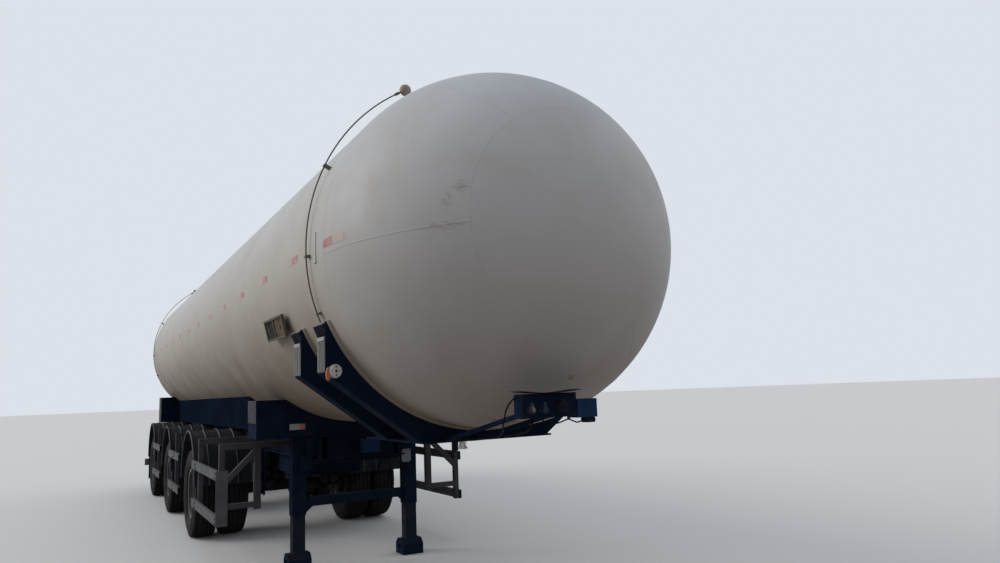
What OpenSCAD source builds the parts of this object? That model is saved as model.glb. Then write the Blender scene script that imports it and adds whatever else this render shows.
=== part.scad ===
// Pressure tank semi-trailer, three spaced axles, standing uncoupled on its landing legs.
// Millimetres. +X is forward, +Y is the trailer's left, +Z is up.
// The origin is on the ground, below the middle of the tank.

/* [Tank] */
// Outer diameter of the tank
tank_d = 2400; // [2200:10:2500]
// Length of the cylindrical shell between the head seams
shell_len = 11500; // [11000:50:12500]
// Plate thickness of shell and heads
shell_wall = 12; // [8:1:16]
// Distance from the frame rails' top to the shell's underside
tank_clear = 120; // [100:5:160]

/* [Front saddles] */
// Distance of the first saddle's front face behind the front seam
saddle_1_back = 200; // [120:5:260]
// Distance of the second saddle's front face behind the front seam
saddle_2_back = 790; // [740:5:900]
// Depth of one saddle along the trailer
saddle_depth = 160; // [120:5:200]
// How far the saddles' tips stand out past the wear pads
saddle_lip = 8; // [6:0.1:30]
// Half of the saddle's flat bottom
saddle_foot_half_w = 500; // [450:5:560]
// Distance of the saddle's flat bottom below the shell's underside
saddle_foot_drop = 70; // [50:5:90]
// Distance of the saddle's tips below the tank's axis
saddle_tip_drop = 475; // [460:5:520]
// Height of the web's bare tip above the saddle's flanges
saddle_cap_h = 95; // [70:5:110]
// Length of the upright end's light strip
saddle_strip_h = 235; // [200:5:280]
// Plate thickness of the saddles' webs and flanges
saddle_plate = 12; // [8:1:16]
// Thickness of the curved wear pads between saddle and shell
pad_t = 20; // [12:1:26]

/* [Coupler] */
// Length of the coupler plate
coupler_len = 1100; // [1000:10:1300]
// Thickness of the coupler plate
coupler_t = 12; // [8:1:16]
// Distance of the kingpin behind the front seam
kingpin_back = 580; // [500:5:650]
// Diameter of the kingpin's waist
kingpin_waist_d = 50.8; // [50.8:0.1:51.2]
// Diameter of the kingpin's lower head
kingpin_head_d = 71.5; // [70:0.1:73]

/* [Running gear] */
// Distance of the middle axle behind the tank's middle
axle_2_back = 2400; // [2300:10:2500]
// Distance between axles
axle_pitch = 2500; // [2450:10:2600]
// Outer diameter of the tyres
tyre_d = 1044; // [1000:2:1060]
// Width of one tyre
tyre_w = 295; // [270:1:300]
// Distance between the two tyres of a pair
dual_pitch = 335; // [325:1:345]
// Distance of the outer tyre's outer face from the middle
tyre_out = 1250; // [1235:1:1260]
// Diameter of the tyre's seat on the rim
seat_d = 571.5; // [560:0.5:580]
// Diameter of the axle spindles
spindle_d = 90; // [80:1:100]
// Diameter of the axle tube
axle_d = 127; // [120:1:140]

/* [Sub-frame] */
// Distance of the frame rails' web from the middle
rail_y = 400; // [380:5:410]
// Height of the frame rails' underside
rail_low_h = 1010; // [990:5:1030]
// Depth of the frame rails
rail_depth = 240; // [220:5:260]
// Width of the rails' flanges
flange_w = 120; // [110:5:160]
// Thickness of the rails' flanges
flange_t = 14; // [10:1:18]
// Thickness of the rails' webs
web_t = 10; // [8:1:14]
// Distance of the side sills from the middle
sill_y = 780; // [760:5:800]
// Thickness of the sill plates
sill_t = 10; // [6:1:14]

/* [Landing legs] */
// Distance of the legs behind the front seam
leg_back = 3060; // [3000:5:3120]
// Distance from the rail's flange to the leg tube
leg_mount_t = 51; // [40:1:60]
// Outer width of the fixed leg tube
leg_tube_w = 132; // [125:1:150]
// Wall of the fixed leg tube
leg_tube_wall = 7; // [5:0.5:9]
// Height of the fixed tube's lower end
leg_tube_low_h = 500; // [480:5:540]
// Gap between the fixed and the sliding tube, on each side
slide_gap = 0.5; // [0.5:0.1:2]
// Width of the foot block
foot_w = 215; // [200:5:240]
// Height of the foot block
foot_h = 150; // [130:5:170]

/* [Guards] */
// Half of the trailer's overall width, at the guards' outer faces
half_w = 1300; // [1280:5:1300]
// Distance of the side guards' front end behind the legs' middle
guard_behind_leg = 220; // [180:5:300]
// Depth of a guard rail
guard_rail_t = 30; // [26:2:40]
// Height of a guard rail's section
guard_rail_h = 90; // [80:2:100]
// Height of the lower rail's underside
guard_low_h = 450; // [420:5:470]
// Height of the upper rail's underside
guard_high_h = 870; // [850:5:890]
// Width of the square guard posts
guard_post_w = 50; // [46:2:60]

/* [Hidden] */
// Clearance between pieces that seat on each other
seat = 0.3;
// Radial clearance of the hubs on their spindles
run = 0.05;

tank_r = tank_d / 2;
pad_r = tank_r + pad_t;
seam_x = shell_len / 2;
rail_high_h = rail_low_h + rail_depth;
axis_h = rail_high_h + tank_clear + tank_r;
saddle_foot_h = axis_h - tank_r - saddle_foot_drop;
saddle_tip_h = axis_h - saddle_tip_drop;
saddle_end_high_h = saddle_tip_h - saddle_cap_h;
saddle_end_low_h = saddle_end_high_h - saddle_strip_h;
saddle_half_w = sqrt(pad_r * pad_r - saddle_tip_drop * saddle_tip_drop) + saddle_lip;
ROUND = 96;
TANK_ROUND = 360;

function axle_x(i) = (1 - i) * axle_pitch - axle_2_back;
wheel_h = tyre_d / 2;
dual_mid = tyre_out - tyre_w / 2 - dual_pitch / 2;

leg_x = seam_x - leg_back;
leg_y = rail_y + flange_w / 2 + leg_mount_t + leg_tube_w / 2;
leg_slide_w = leg_tube_w - 2 * leg_tube_wall - 2 * slide_gap;
guard_x = leg_x - guard_behind_leg;

fender_r = wheel_h + 98;
fender_t = 4;
fender_h = wheel_h + 128;
fender_w = dual_pitch + tyre_w + 35;
fender_top_h = fender_h + fender_r;
guard_gap = 26;

cradle_depth = 120;
wide_cradle_depth = 380;
sill_front_x = axle_x(0) + axle_pitch / 2 + 50;
cradle_xs = [sill_front_x, for (i = [0, 1]) axle_x(i) - axle_pitch / 2 + cradle_depth / 2];
frame_front_x = leg_x + 210;
frame_rear_x = -seam_x - 760;
rear_cradle_x = 530 - seam_x;
sill_rear_x = rear_cradle_x + seat;
sill_low_h = max(rail_high_h + 40, fender_top_h + 20);

// A block given by its lowest and highest corner.
module block(low, high) {
    translate(low) cube(high - low);
}

// The same children on the right and on the left.
module both_sides() {
    children();
    mirror([0, 1, 0]) children();
}

// A flat outline in the Y-Z plane, extruded backwards from x by depth.
module across(x, depth) {
    translate([x - depth, 0, 0]) rotate([90, 0, 90]) linear_extrude(depth) children();
}

// A flat outline in the X-Z plane, extruded from y_low to y_high.
module along(y_low, y_high) {
    translate([0, y_high, 0]) rotate([90, 0, 0]) linear_extrude(y_high - y_low) children();
}

// A revolved outline about the tank's axis; the outline's y is the place along X.
module about_tank_axis() {
    translate([0, 0, axis_h]) rotate([0, 90, 0]) rotate_extrude($fn = TANK_ROUND) children();
}

module tank_shell() {
    color("ivory") about_tank_axis()
        translate([tank_r - shell_wall, -seam_x]) square([shell_wall, shell_len]);
}

// A hemispherical head: the quarter ring between the plate's two radii, revolved.
module head() {
    about_tank_axis() intersection() {
        difference() {
            circle(r = tank_r, $fn = 2 * ROUND);
            circle(r = tank_r - shell_wall, $fn = 2 * ROUND);
        }
        square(tank_r + 1);
    }
}

module front_head() {
    color("ivory") translate([seam_x, 0, 0]) head();
}

module rear_head() {
    color("ivory") mirror([1, 0, 0]) translate([seam_x, 0, 0]) head();
}

// The round space that the tank takes in the Y-Z plane.
module tank_circle(r) {
    translate([0, axis_h]) circle(r = r, $fn = TANK_ROUND);
}

// A saddle's outline without its round cut, moved inwards by inset.
module saddle_outline(inset, top_h) {
    a = atan2(saddle_end_low_h - saddle_foot_h, saddle_half_w - saddle_foot_half_w);
    foot = saddle_foot_half_w - inset * tan(a / 2);
    end_low = saddle_end_low_h + inset * (1 - sin(a)) / cos(a);
    w = saddle_half_w - inset;
    polygon([
        [-foot, saddle_foot_h + inset], [foot, saddle_foot_h + inset],
        [w, end_low], [w, top_h], [-w, top_h], [-w, end_low]
    ]);
}

// One saddle: a front web to the tips, with flanges all round behind it and upright ribs.
module saddle(x) {
    rib_ys = [-900, -620, -saddle_foot_half_w + 40, -180, 180, saddle_foot_half_w - 40, 620, 900];
    across(x, saddle_plate) difference() {
        saddle_outline(0, saddle_tip_h);
        tank_circle(pad_r);
    }
    across(x, saddle_depth) difference() {
        saddle_outline(0, saddle_end_high_h);
        tank_circle(pad_r);
        difference() {
            saddle_outline(saddle_plate, saddle_end_high_h + 1);
            tank_circle(pad_r + saddle_plate);
        }
    }
    across(x - saddle_plate / 2, saddle_depth - 30) intersection() {
        difference() {
            saddle_outline(saddle_plate / 2, saddle_end_high_h);
            tank_circle(pad_r + saddle_plate / 2);
        }
        for (y = rib_ys) translate([y - saddle_plate / 2, 0]) square([saddle_plate, saddle_end_high_h]);
    }
}

saddle_1_x = seam_x - saddle_1_back;
saddle_2_x = seam_x - saddle_2_back;

module front_saddle() {
    color("midnightblue") saddle(saddle_1_x);
}

module second_saddle() {
    color("midnightblue") saddle(saddle_2_x);
}

strip_t = 5;

// Light plates on the saddles' upright ends.
module saddle_end_strips() {
    color("lightgray") both_sides() for (x = [saddle_1_x, saddle_2_x])
        block([x - saddle_depth, saddle_half_w, saddle_end_low_h + 10],
              [x, saddle_half_w + strip_t, saddle_end_high_h - seat]);
}

cap_len = 250;
cap_t = 22;
cap_h = 84;

// Dark louvred blocks on the wear pads below the saddles' tips, square to the tank.
module saddle_caps() {
    cap_angle = asin((saddle_tip_drop + 6) / pad_r) + cap_h / 2 / pad_r * 180 / PI;
    color("black") both_sides() for (x = [saddle_1_x, saddle_2_x])
        difference() {
            translate([x - cap_len, 0, axis_h]) rotate([cap_angle, 0, 0])
                translate([0, -pad_r - cap_t, -cap_h / 2]) cube([cap_len - saddle_plate, cap_t + 5, cap_h]);
            translate([0, 0, axis_h]) rotate([0, 90, 0])
                cylinder(r = pad_r + seat, h = 4 * seam_x, center = true, $fn = TANK_ROUND);
        }
}

pad_margin = 20;
pad_angle = acos((axis_h - saddle_tip_h) / pad_r);

// A ring sector about the tank's axis, below it, out to an angle each side of straight down.
module ring_sector(r_in, r_out, half_angle) {
    far = 2 * r_out;
    translate([0, axis_h]) intersection() {
        difference() {
            circle(r = r_out, $fn = TANK_ROUND);
            circle(r = r_in, $fn = TANK_ROUND);
        }
        polygon([
            [0, 0], [-far * sin(half_angle), -far * cos(half_angle)],
            [-far, -far], [far, -far], [far * sin(half_angle), -far * cos(half_angle)]
        ]);
    }
}

// Curved plates between the saddles and the shell.
module wear_pads() {
    color("ivory") for (x = [saddle_1_x, saddle_2_x])
        across(x + pad_margin, saddle_depth + 2 * pad_margin)
            ring_sector(tank_r + seat, pad_r - seat, pad_angle);
}

coupler_front_x = seam_x - 150;
coupler_web_y = 350;

// The flat plate that rests on the tractor, holed for the kingpin, with two webs between the saddles.
module coupler_plate() {
    color("midnightblue") {
        difference() {
            block([coupler_front_x - coupler_len, -saddle_foot_half_w, saddle_foot_h - coupler_t],
                  [coupler_front_x, saddle_foot_half_w, saddle_foot_h]);
            translate([kingpin_x, 0, saddle_foot_h - coupler_t - 1])
                cylinder(d = kingpin_collar_d + 2 * seat, h = coupler_t + 2, $fn = 64);
        }
        both_sides() across(saddle_1_x - saddle_depth - seat,
                            saddle_1_x - saddle_2_x - saddle_depth - 2 * seat)
            difference() {
                translate([coupler_web_y, saddle_foot_h - coupler_t / 2]) square([saddle_plate, axis_h - saddle_foot_h]);
                tank_circle(pad_r + seat);
            }
    }
}

kingpin_x = seam_x - kingpin_back;
kingpin_top_h = saddle_foot_h - coupler_t;
kingpin_collar_d = 73;
kingpin_collar_h = 32;
kingpin_waist_h = 36;
kingpin_head_h = 16;
kingpin_flange_d = 170;
kingpin_flange_t = 14;

// The kingpin: a flange on the plate, a collar through it, a waist and a lower head with a bevel.
module kingpin() {
    r_collar = kingpin_collar_d / 2;
    r_waist = kingpin_waist_d / 2;
    r_head = kingpin_head_d / 2;
    z1 = -kingpin_collar_h;
    z2 = z1 - kingpin_waist_h;
    z3 = z2 - kingpin_head_h;
    color("silver") translate([kingpin_x, 0, kingpin_top_h]) rotate_extrude($fn = 64)
        polygon([
            [0, coupler_t + seat + kingpin_flange_t], [kingpin_flange_d / 2, coupler_t + seat + kingpin_flange_t],
            [kingpin_flange_d / 2, coupler_t + seat], [r_collar, coupler_t + seat],
            [r_collar, z1], [r_waist, z1], [r_waist, z2],
            [r_head, z2], [r_head, z3 + 4], [r_head - 4, z3], [0, z3]
        ]);
}

panel_pole_back = 250;
panel_x = seam_x + tank_r - panel_pole_back;
panel_y = [-390, -36];
panel_drop = 1110;
panel_h = 132;
panel_low_h = axis_h - panel_drop;
panel_high_h = panel_low_h + panel_h;
panel_depth = 90;

panel_arm_ys = [-340, -100];
panel_arm_h = 28;

// The coupling panel ahead of the front head, on two flat arms from the coupler plate's front edge.
module coupling_panel() {
    rear_x = panel_x - panel_depth;
    color("darkslategray") {
        block([rear_x, panel_y[0], panel_low_h], [panel_x, panel_y[1], panel_high_h]);
        for (y = panel_arm_ys) along(y, y + 12) polygon([
            [coupler_front_x + seat, saddle_foot_h - coupler_t], [coupler_front_x + seat, saddle_foot_h - coupler_t + panel_arm_h],
            [rear_x + 5, panel_low_h + panel_arm_h + 10], [rear_x + 5, panel_low_h + 10]
        ]);
    }
}

hood_reach = 40;

// The sagging hood over the panel's face.
module panel_hood() {
    sag = 14;
    left = panel_y[0] - 18;
    w = panel_y[1] + 8 - left;
    top = [for (i = [0:8]) [left + w * i / 8, panel_high_h + 18 - sag * sin(180 * i / 8)]];
    low = [for (i = [8:-1:0]) [left + w * i / 8, panel_high_h + 14 - sag * sin(180 * i / 8)]];
    color("black") across(panel_x + hood_reach, hood_reach + panel_depth) polygon(concat(top, low));
}

panel_box_w = 135;

// The closed socket box beside the panel.
module panel_box() {
    color("steelblue") block([panel_x - panel_depth, panel_y[1] + seat, panel_low_h - 10],
                             [panel_x + 10, panel_y[1] + panel_box_w, panel_high_h - 38]);
}

pipe_d = 10;
pipe_r = tank_r + 24;
pipe_lift_angle = -2;
pipe_end_angle = 65.5;
pipe_start_angle = -asin((axis_h - saddle_tip_h - seat) / (pipe_r + pipe_d / 2));
pipe_spread = 146;
pipe_wide_r = pipe_r + pipe_spread;
pipe_wide_back = pipe_spread;
pipe_wide_end = pipe_end_angle - asin(pipe_wide_back * sin(pipe_end_angle - pipe_lift_angle) / pipe_wide_r);
pipe_x = saddle_1_x - 110;
rear_pipe_x = -seam_x + 240;
clips = [[-20, 0], [-2, 0], [28, 18]];
clip_w = 44;
clip_h = 14;
clip_out = pipe_d / 2 + 3;
socket_d = 20;
socket_sweep = 1;
lamp_r = 42;

// A bend of round bar about the X axis, on the right side, from one angle above level to another.
module bend(r, d, a_low, a_high) {
    rotate([90, 0, -90]) rotate([0, 0, a_low]) rotate_extrude(angle = a_high - a_low, $fn = 2 * ROUND)
        translate([r, 0]) circle(d = d, $fn = 16);
}

// A lamp pipe: a bend that follows the shell on clips, then a wider one that leaves it.
module lamp_pipe() {
    translate([0, 0, axis_h]) {
        bend(pipe_r, pipe_d, pipe_start_angle, pipe_lift_angle);
        difference() {
            for (c = clips) rotate([-c[0], 0, 0])
                translate([-clip_w / 2, -pipe_r - c[1] - clip_out, -clip_h / 2]) cube([clip_w, pipe_r - tank_r + 15 + c[1] + clip_out, clip_h]);
            rotate([0, 90, 0]) cylinder(r = tank_r + seat, h = 100, center = true, $fn = TANK_ROUND);
        }
        translate([0, pipe_wide_back * cos(pipe_lift_angle), -pipe_wide_back * sin(pipe_lift_angle)]) {
            bend(pipe_wide_r, pipe_d, pipe_lift_angle, pipe_wide_end);
            bend(pipe_wide_r, socket_d, pipe_wide_end - 2 * socket_sweep, pipe_wide_end - socket_sweep / 2);
        }
    }
}

module lamp_pipes() {
    color("dimgray") both_sides() for (x = [pipe_x, rear_pipe_x]) translate([x, 0, 0]) lamp_pipe();
}

// Round clearance lamps at the pipes' ends.
module corner_lamps() {
    reach = lamp_r + seat;
    out = pipe_wide_r * cos(pipe_wide_end) - pipe_wide_back * cos(pipe_lift_angle) - reach * sin(pipe_wide_end);
    up = pipe_wide_r * sin(pipe_wide_end) - pipe_wide_back * sin(pipe_lift_angle) + reach * cos(pipe_wide_end);
    color("saddlebrown") both_sides() for (x = [pipe_x, rear_pipe_x])
        translate([x, -out, axis_h + up]) sphere(r = lamp_r, $fn = 48);
}

marker_r = 42;
marker_y = saddle_half_w - 63;
marker_h = saddle_end_low_h + 14;

// Round lamps on the first saddle's face.
module front_markers() {
    color("white") both_sides() translate([saddle_1_x, marker_y, marker_h]) rotate([0, 90, 0])
        cylinder(r = marker_r, h = 26, $fn = 48);
}

placard_back = 1100;
placard_w = 570;
placard_low_drop = 500;
placard_high_drop = 336;
placard_low_gap = 74;
placard_high_gap = 53;
placard_low = [sqrt(tank_r * tank_r - placard_low_drop * placard_low_drop) + placard_low_gap, axis_h - placard_low_drop];
placard_high = [sqrt(tank_r * tank_r - placard_high_drop * placard_high_drop) + placard_high_gap, axis_h - placard_high_drop];

// Placard frames that stand off the shell's side on two pegs.
module placard_frames() {
    tilt = atan2(placard_high[0] - placard_low[0], placard_high[1] - placard_low[1]);
    height = norm(placard_high - placard_low);
    w = placard_w;
    border = 16;
    color("tan") both_sides() difference() {
        translate([seam_x - placard_back - w, placard_low[0], placard_low[1]]) rotate([-tilt, 0, 0]) {
            difference() {
                translate([0, -24, 0]) cube([w, 24, height]);
                for (x = [border, w / 2 + border / 2])
                    translate([x, -14, border]) cube([w / 2 - 1.5 * border, 20, height - 2 * border]);
            }
            for (x = [w * 0.2, w * 0.8]) translate([x, 0, height / 2]) rotate([90, 0, 0]) cylinder(d = 30, h = 140, $fn = 24);
        }
        translate([0, 0, axis_h]) rotate([0, 90, 0])
            cylinder(r = tank_r + seat, h = 2 * seam_x, center = true, $fn = TANK_ROUND);
    }
}

// A cradle's outline: flat foot on the rails, sloped flanks, upright ends, flat shoulders.
module cradle_outline(end_y, end_low_h, end_high_h) {
    difference() {
        polygon([
            [-rail_y - flange_w / 2, rail_high_h], [rail_y + flange_w / 2, rail_high_h],
            [end_y, end_low_h], [end_y, end_high_h], [-end_y, end_high_h], [-end_y, end_low_h]
        ]);
        tank_circle(tank_r + seat);
    }
}

landing_end = [1000, rail_high_h, rail_high_h + 360];
rear_end = [1090, max(rail_high_h + 25, fender_top_h + 5), rail_high_h + 480];
landing_x = leg_x + 140;

// A deep cradle of two webs, open below between them. Its end: half width, low and high edge.
module wide_cradle(x, end) {
    inner = wide_cradle_depth - 2 * saddle_plate;
    difference() {
        across(x, wide_cradle_depth) cradle_outline(end[0], end[1], end[2]);
        across(x - saddle_plate, inner) difference() {
            translate([-end[0] + 6, rail_high_h + 2 * saddle_plate]) square([2 * end[0] - 12, tank_r]);
            tank_circle(tank_r + seat + saddle_plate);
            for (y = [-700, -rail_y, 0, rail_y, 700]) translate([y - 6, 0]) square([12, axis_h]);
            translate([-end[0], end[2] - 10]) square([2 * end[0], 10]);
        }
    }
}

// The cradle over the landing legs.
module landing_cradle() {
    color("midnightblue") wide_cradle(landing_x, landing_end);
}

// The cradle ahead of the rear seam.
module rear_cradle() {
    color("midnightblue") wide_cradle(rear_cradle_x, rear_end);
}

// Light plates on both deep cradles' ends.
module cradle_end_strips() {
    color("lightgray") both_sides() for (c = [[landing_x, landing_end], [rear_cradle_x, rear_end]])
        block([c[0] - wide_cradle_depth, c[1][0], max(c[1][1] + 20, c[1][2] - 215 - 230 * (c[1][0] > 1050 ? 1 : 0))],
              [c[0], c[1][0] + strip_t, c[1][2] - seat]);
}

// Narrow cradles on the frame rails, between the side sills.
module cradles() {
    color("midnightblue") for (x = cradle_xs) difference() {
        across(x, cradle_depth) cradle_outline(sill_y - sill_t / 2 - seat, rail_high_h + 80, axis_h);
        across(x - saddle_plate, cradle_depth) difference() {
            translate([-sill_y, rail_high_h + saddle_plate]) square([2 * sill_y, tank_r]);
            tank_circle(tank_r + seat + saddle_plate);
            for (y = [-rail_y, 0, rail_y]) translate([y - 6, 0]) square([12, axis_h]);
        }
    }
}

// Long plates that close the sides between cradles and shell.
module side_sills() {
    color("midnightblue") both_sides() difference() {
        block([sill_rear_x, sill_y - sill_t / 2, sill_low_h], [sill_front_x, sill_y + sill_t / 2, axis_h]);
        translate([0, 0, axis_h]) rotate([0, 90, 0])
            cylinder(r = tank_r + seat, h = 4 * seam_x, center = true, $fn = TANK_ROUND);
    }
}

// Two rolled frame rails from the landing legs to the rear bumper.
module frame_rails() {
    color("midnightblue") both_sides() across(frame_front_x, frame_front_x - frame_rear_x) {
        translate([rail_y - web_t / 2, rail_low_h]) square([web_t, rail_high_h - rail_low_h]);
        for (z = [rail_low_h, rail_high_h - flange_t])
            translate([rail_y - flange_w / 2, z]) square([flange_w, flange_t]);
    }
}

// Channels between the rails' flanges.
module cross_members() {
    inner_y = rail_y - flange_w / 2;
    xs = [frame_front_x, landing_x - wide_cradle_depth, cabinet_front_x + 70, cabinet_front_x - cabinet_len, axle_x(2) + 600];
    color("midnightblue") for (x = xs) difference() {
        block([x - 70, -inner_y, rail_low_h], [x, inner_y, rail_high_h]);
        block([x - 71, -inner_y - 1, rail_low_h + 10], [x - 8, inner_y + 1, rail_high_h - 10]);
    }
}

// The small valve box on the frame's front channel.
module valve_box() {
    color("steelblue") block([frame_front_x, -10, rail_low_h + 55], [frame_front_x + 90, 165, rail_high_h - 50]);
}

leg_top_h = rail_high_h - seat;
gear_shaft_d = 32;
gear_h = rail_low_h - gear_shaft_d / 2 - 4;

// Fixed leg tubes, closed on top, on brackets from the rails' webs.
module leg_tubes() {
    color("midnightblue") both_sides() {
        difference() {
            block([leg_x - leg_tube_w / 2, leg_y - leg_tube_w / 2, leg_tube_low_h],
                  [leg_x + leg_tube_w / 2, leg_y + leg_tube_w / 2, leg_top_h]);
            block([leg_x - leg_tube_w / 2 + leg_tube_wall, leg_y - leg_tube_w / 2 + leg_tube_wall, leg_tube_low_h - 1],
                  [leg_x + leg_tube_w / 2 - leg_tube_wall, leg_y + leg_tube_w / 2 - leg_tube_wall, leg_top_h - 10]);
        }
        difference() {
            block([leg_x - 120, rail_y + web_t / 2, gear_h + 75], [leg_x + 120, leg_y - leg_tube_w / 2, rail_high_h - flange_t]);
            block([leg_x - 108, rail_y, gear_h + 74], [leg_x + 108, leg_y - leg_tube_w / 2 - 12, rail_high_h]);
        }
    }
}

gear_y = rail_y + flange_w / 2 + 1;

// Gear housings on the legs' fronts and the shaft between them.
module leg_gears() {
    color("gray") {
        both_sides() block([leg_x + leg_tube_w / 2, gear_y, gear_h - 70], [leg_x + leg_tube_w / 2 + 45, leg_y - 10, gear_h + 70]);
        translate([leg_x + leg_tube_w / 2 + 22, 0, gear_h]) rotate([90, 0, 0])
            cylinder(d = gear_shaft_d, h = 2 * gear_y, center = true, $fn = 32);
    }
}

tie_h = leg_tube_low_h + 75;

// The low channel between the legs, with a gusset at each end.
module leg_tie() {
    y = leg_y - leg_tube_w / 2;
    color("midnightblue") {
        difference() {
            block([leg_x - 40, -y, tie_h], [leg_x + 40, y, tie_h + 85]);
            block([leg_x - 60, -y - 1, tie_h + 8], [leg_x + 32, y + 1, tie_h + 77]);
        }
        both_sides() across(leg_x + 40, 8) polygon([[y, tie_h], [y, tie_h - 60], [y - 70, tie_h]]);
    }
}

slide_top_h = leg_tube_low_h + 400;

// The sliding tube of one leg.
module leg_slide() {
    color("dimgray") difference() {
        block([leg_x - leg_slide_w / 2, leg_y - leg_slide_w / 2, foot_h],
              [leg_x + leg_slide_w / 2, leg_y + leg_slide_w / 2, slide_top_h]);
        block([leg_x - leg_slide_w / 2 + 8, leg_y - leg_slide_w / 2 + 8, foot_h + 8],
              [leg_x + leg_slide_w / 2 - 8, leg_y + leg_slide_w / 2 - 8, slide_top_h + 1]);
    }
}

// One foot block: a pressed shoe with sloped ends.
module foot() {
    color("midnightblue") along(leg_y - foot_w / 2, leg_y + foot_w / 2) polygon([
        [leg_x - foot_w / 2, 0], [leg_x + foot_w / 2, 0],
        [leg_x + foot_w / 2, foot_h - 50], [leg_x + leg_slide_w / 2, foot_h],
        [leg_x - leg_slide_w / 2, foot_h], [leg_x - foot_w / 2, foot_h - 50]
    ]);
}

module leg_slide_left() { leg_slide(); }
module leg_slide_right() { mirror([0, 1, 0]) leg_slide(); }
module foot_left() { foot(); }
module foot_right() { mirror([0, 1, 0]) foot(); }

post_y = half_w - guard_rail_t - guard_post_w;
arm_low_h = rail_low_h + 140;
inner_post_y = post_y - 310;
guard_top_h = guard_high_h + guard_rail_h;
inner_post_low_h = guard_low_h + 120;

// The front bracket frame of one side guard: two posts, two arms and a brace.
module guard_front_frame() {
    x0 = guard_x - guard_post_w;
    across(guard_x, guard_post_w) {
        translate([post_y, guard_low_h]) square([guard_post_w, arm_low_h + 60 - guard_low_h]);
        translate([inner_post_y - 32, inner_post_low_h]) square([64, arm_low_h + 50 - inner_post_low_h]);
        translate([rail_y + web_t / 2, arm_low_h]) square([post_y + guard_post_w - rail_y - web_t / 2, 60]);
        translate([inner_post_y, inner_post_low_h + 20]) square([post_y - inner_post_y + 10, 50]);
        polygon([
            [post_y + 10, guard_high_h - 80], [post_y + 10, guard_high_h - 10],
            [inner_post_y + 20, arm_low_h + 5], [inner_post_y + 20, arm_low_h - 65]
        ]);
    }
}

// A plain cross frame that carries a guard section between two wheels.
module guard_mid_frame(x) {
    across(x + guard_post_w / 2, guard_post_w) {
        translate([post_y, guard_low_h]) square([guard_post_w, arm_low_h + 60 - guard_low_h]);
        translate([rail_y + web_t / 2, arm_low_h]) square([post_y + guard_post_w - rail_y - web_t / 2, 60]);
    }
}

guard_1_rear_x = axle_x(0) + fender_r + guard_gap;
mid_guards = [for (i = [0, 1]) [axle_x(i + 1) + fender_r + guard_gap, axle_x(i) - fender_r - guard_gap]];

module guard_frames() {
    color("slategray") both_sides() {
        guard_front_frame();
        guard_mid_frame(guard_1_rear_x + 330);
        for (g = mid_guards) guard_mid_frame((g[0] + g[1]) / 2);
    }
}

guard_wall = 4;

// Both rails of one guard section: rectangular tubes, open at their ends.
module guard_section(x_rear, x_front) {
    for (z = [guard_low_h, guard_high_h])
        across(x_front, x_front - x_rear) difference() {
            translate([half_w - guard_rail_t, z]) square([guard_rail_t, guard_rail_h]);
            translate([half_w - guard_rail_t + guard_wall, z + guard_wall])
                square([guard_rail_t - 2 * guard_wall, guard_rail_h - 2 * guard_wall]);
        }
}

module side_guard_left() {
    color("slategray") {
        guard_section(guard_1_rear_x, guard_x);
        for (g = mid_guards) guard_section(g[0], g[1]);
    }
}

end_plate_t = 6;

// The right guard also has the upright plate that closes its front end.
module side_guard_right() {
    mirror([0, 1, 0]) side_guard_left();
    color("slategray") block([guard_x, -half_w, guard_low_h - 10], [guard_x + end_plate_t, -post_y + 30, guard_top_h]);
}

hub_in = dual_mid - 275;
spindle_len = 170;

// Axle beams with brake flanges and spindles.
module axles() {
    color("black") for (i = [0:2]) translate([axle_x(i), 0, wheel_h]) rotate([90, 0, 0]) {
        cylinder(d = axle_d, h = 2 * (hub_in - 20), center = true, $fn = 48);
        cylinder(d = spindle_d, h = 2 * (dual_mid + spindle_len), center = true, $fn = 48);
        for (s = [-1, 1]) translate([0, 0, s * (hub_in - 45)]) cylinder(r = drum_r - 45, h = 16, center = true, $fn = 48);
    }
}

chamber_d = 150;
chamber_y = hub_in - 130;
chamber_x = [130, 250];
chamber_rise = 70;

// Brake chambers ahead of the axles, on bent brackets, with their push rods.
module brake_chambers() {
    color("black") both_sides() for (i = [0:2]) translate([axle_x(i), chamber_y, wheel_h]) {
        translate([chamber_x[0], 0, chamber_rise]) rotate([0, 90, 0]) {
            cylinder(d = chamber_d - 14, h = chamber_x[1] - chamber_x[0], $fn = 48);
            translate([0, 0, 48]) cylinder(d = chamber_d, h = 16, $fn = 48);
        }
        difference() {
            block([0, -50, axle_d / 2 - 20], [chamber_x[0] + 10, 50, axle_d / 2 + 40]);
            block([-1, -40, axle_d / 2 - 60], [chamber_x[0], 40, axle_d / 2 + 30]);
            rotate([90, 0, 0]) cylinder(d = axle_d + 2 * seat, h = 200, center = true, $fn = 48);
        }
    }
}

reservoir_d = 260;
reservoir_len = 720;
reservoir_hangs = [-220, 220];

// The air reservoir below the rails, between the first two axles, in two straps on cross channels.
module air_reservoir() {
    x = (axle_x(0) + axle_x(1)) / 2;
    z = rail_low_h - 60 - reservoir_d / 2;
    color("black") translate([x, 0, 0]) {
        translate([0, 0, z]) rotate([0, 90, 0]) {
            cylinder(d = reservoir_d, h = reservoir_len - 80, center = true, $fn = 64);
            cylinder(d = reservoir_d - 60, h = reservoir_len, center = true, $fn = 64);
        }
        for (u = reservoir_hangs) {
            translate([u, 0, z]) rotate([0, 90, 0]) cylinder(d = reservoir_d + 10, h = 64, center = true, $fn = 64);
            difference() {
                block([u - 35, -rail_y - 60, rail_low_h - 60], [u + 35, rail_y + 60, rail_low_h]);
                block([u - 36, -rail_y - 61, rail_low_h - 61], [u + 27, rail_y + 61, rail_low_h - 8]);
            }
        }
    }
}

hanger_ahead = 520;
arm_h = wheel_h + 78;

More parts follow.
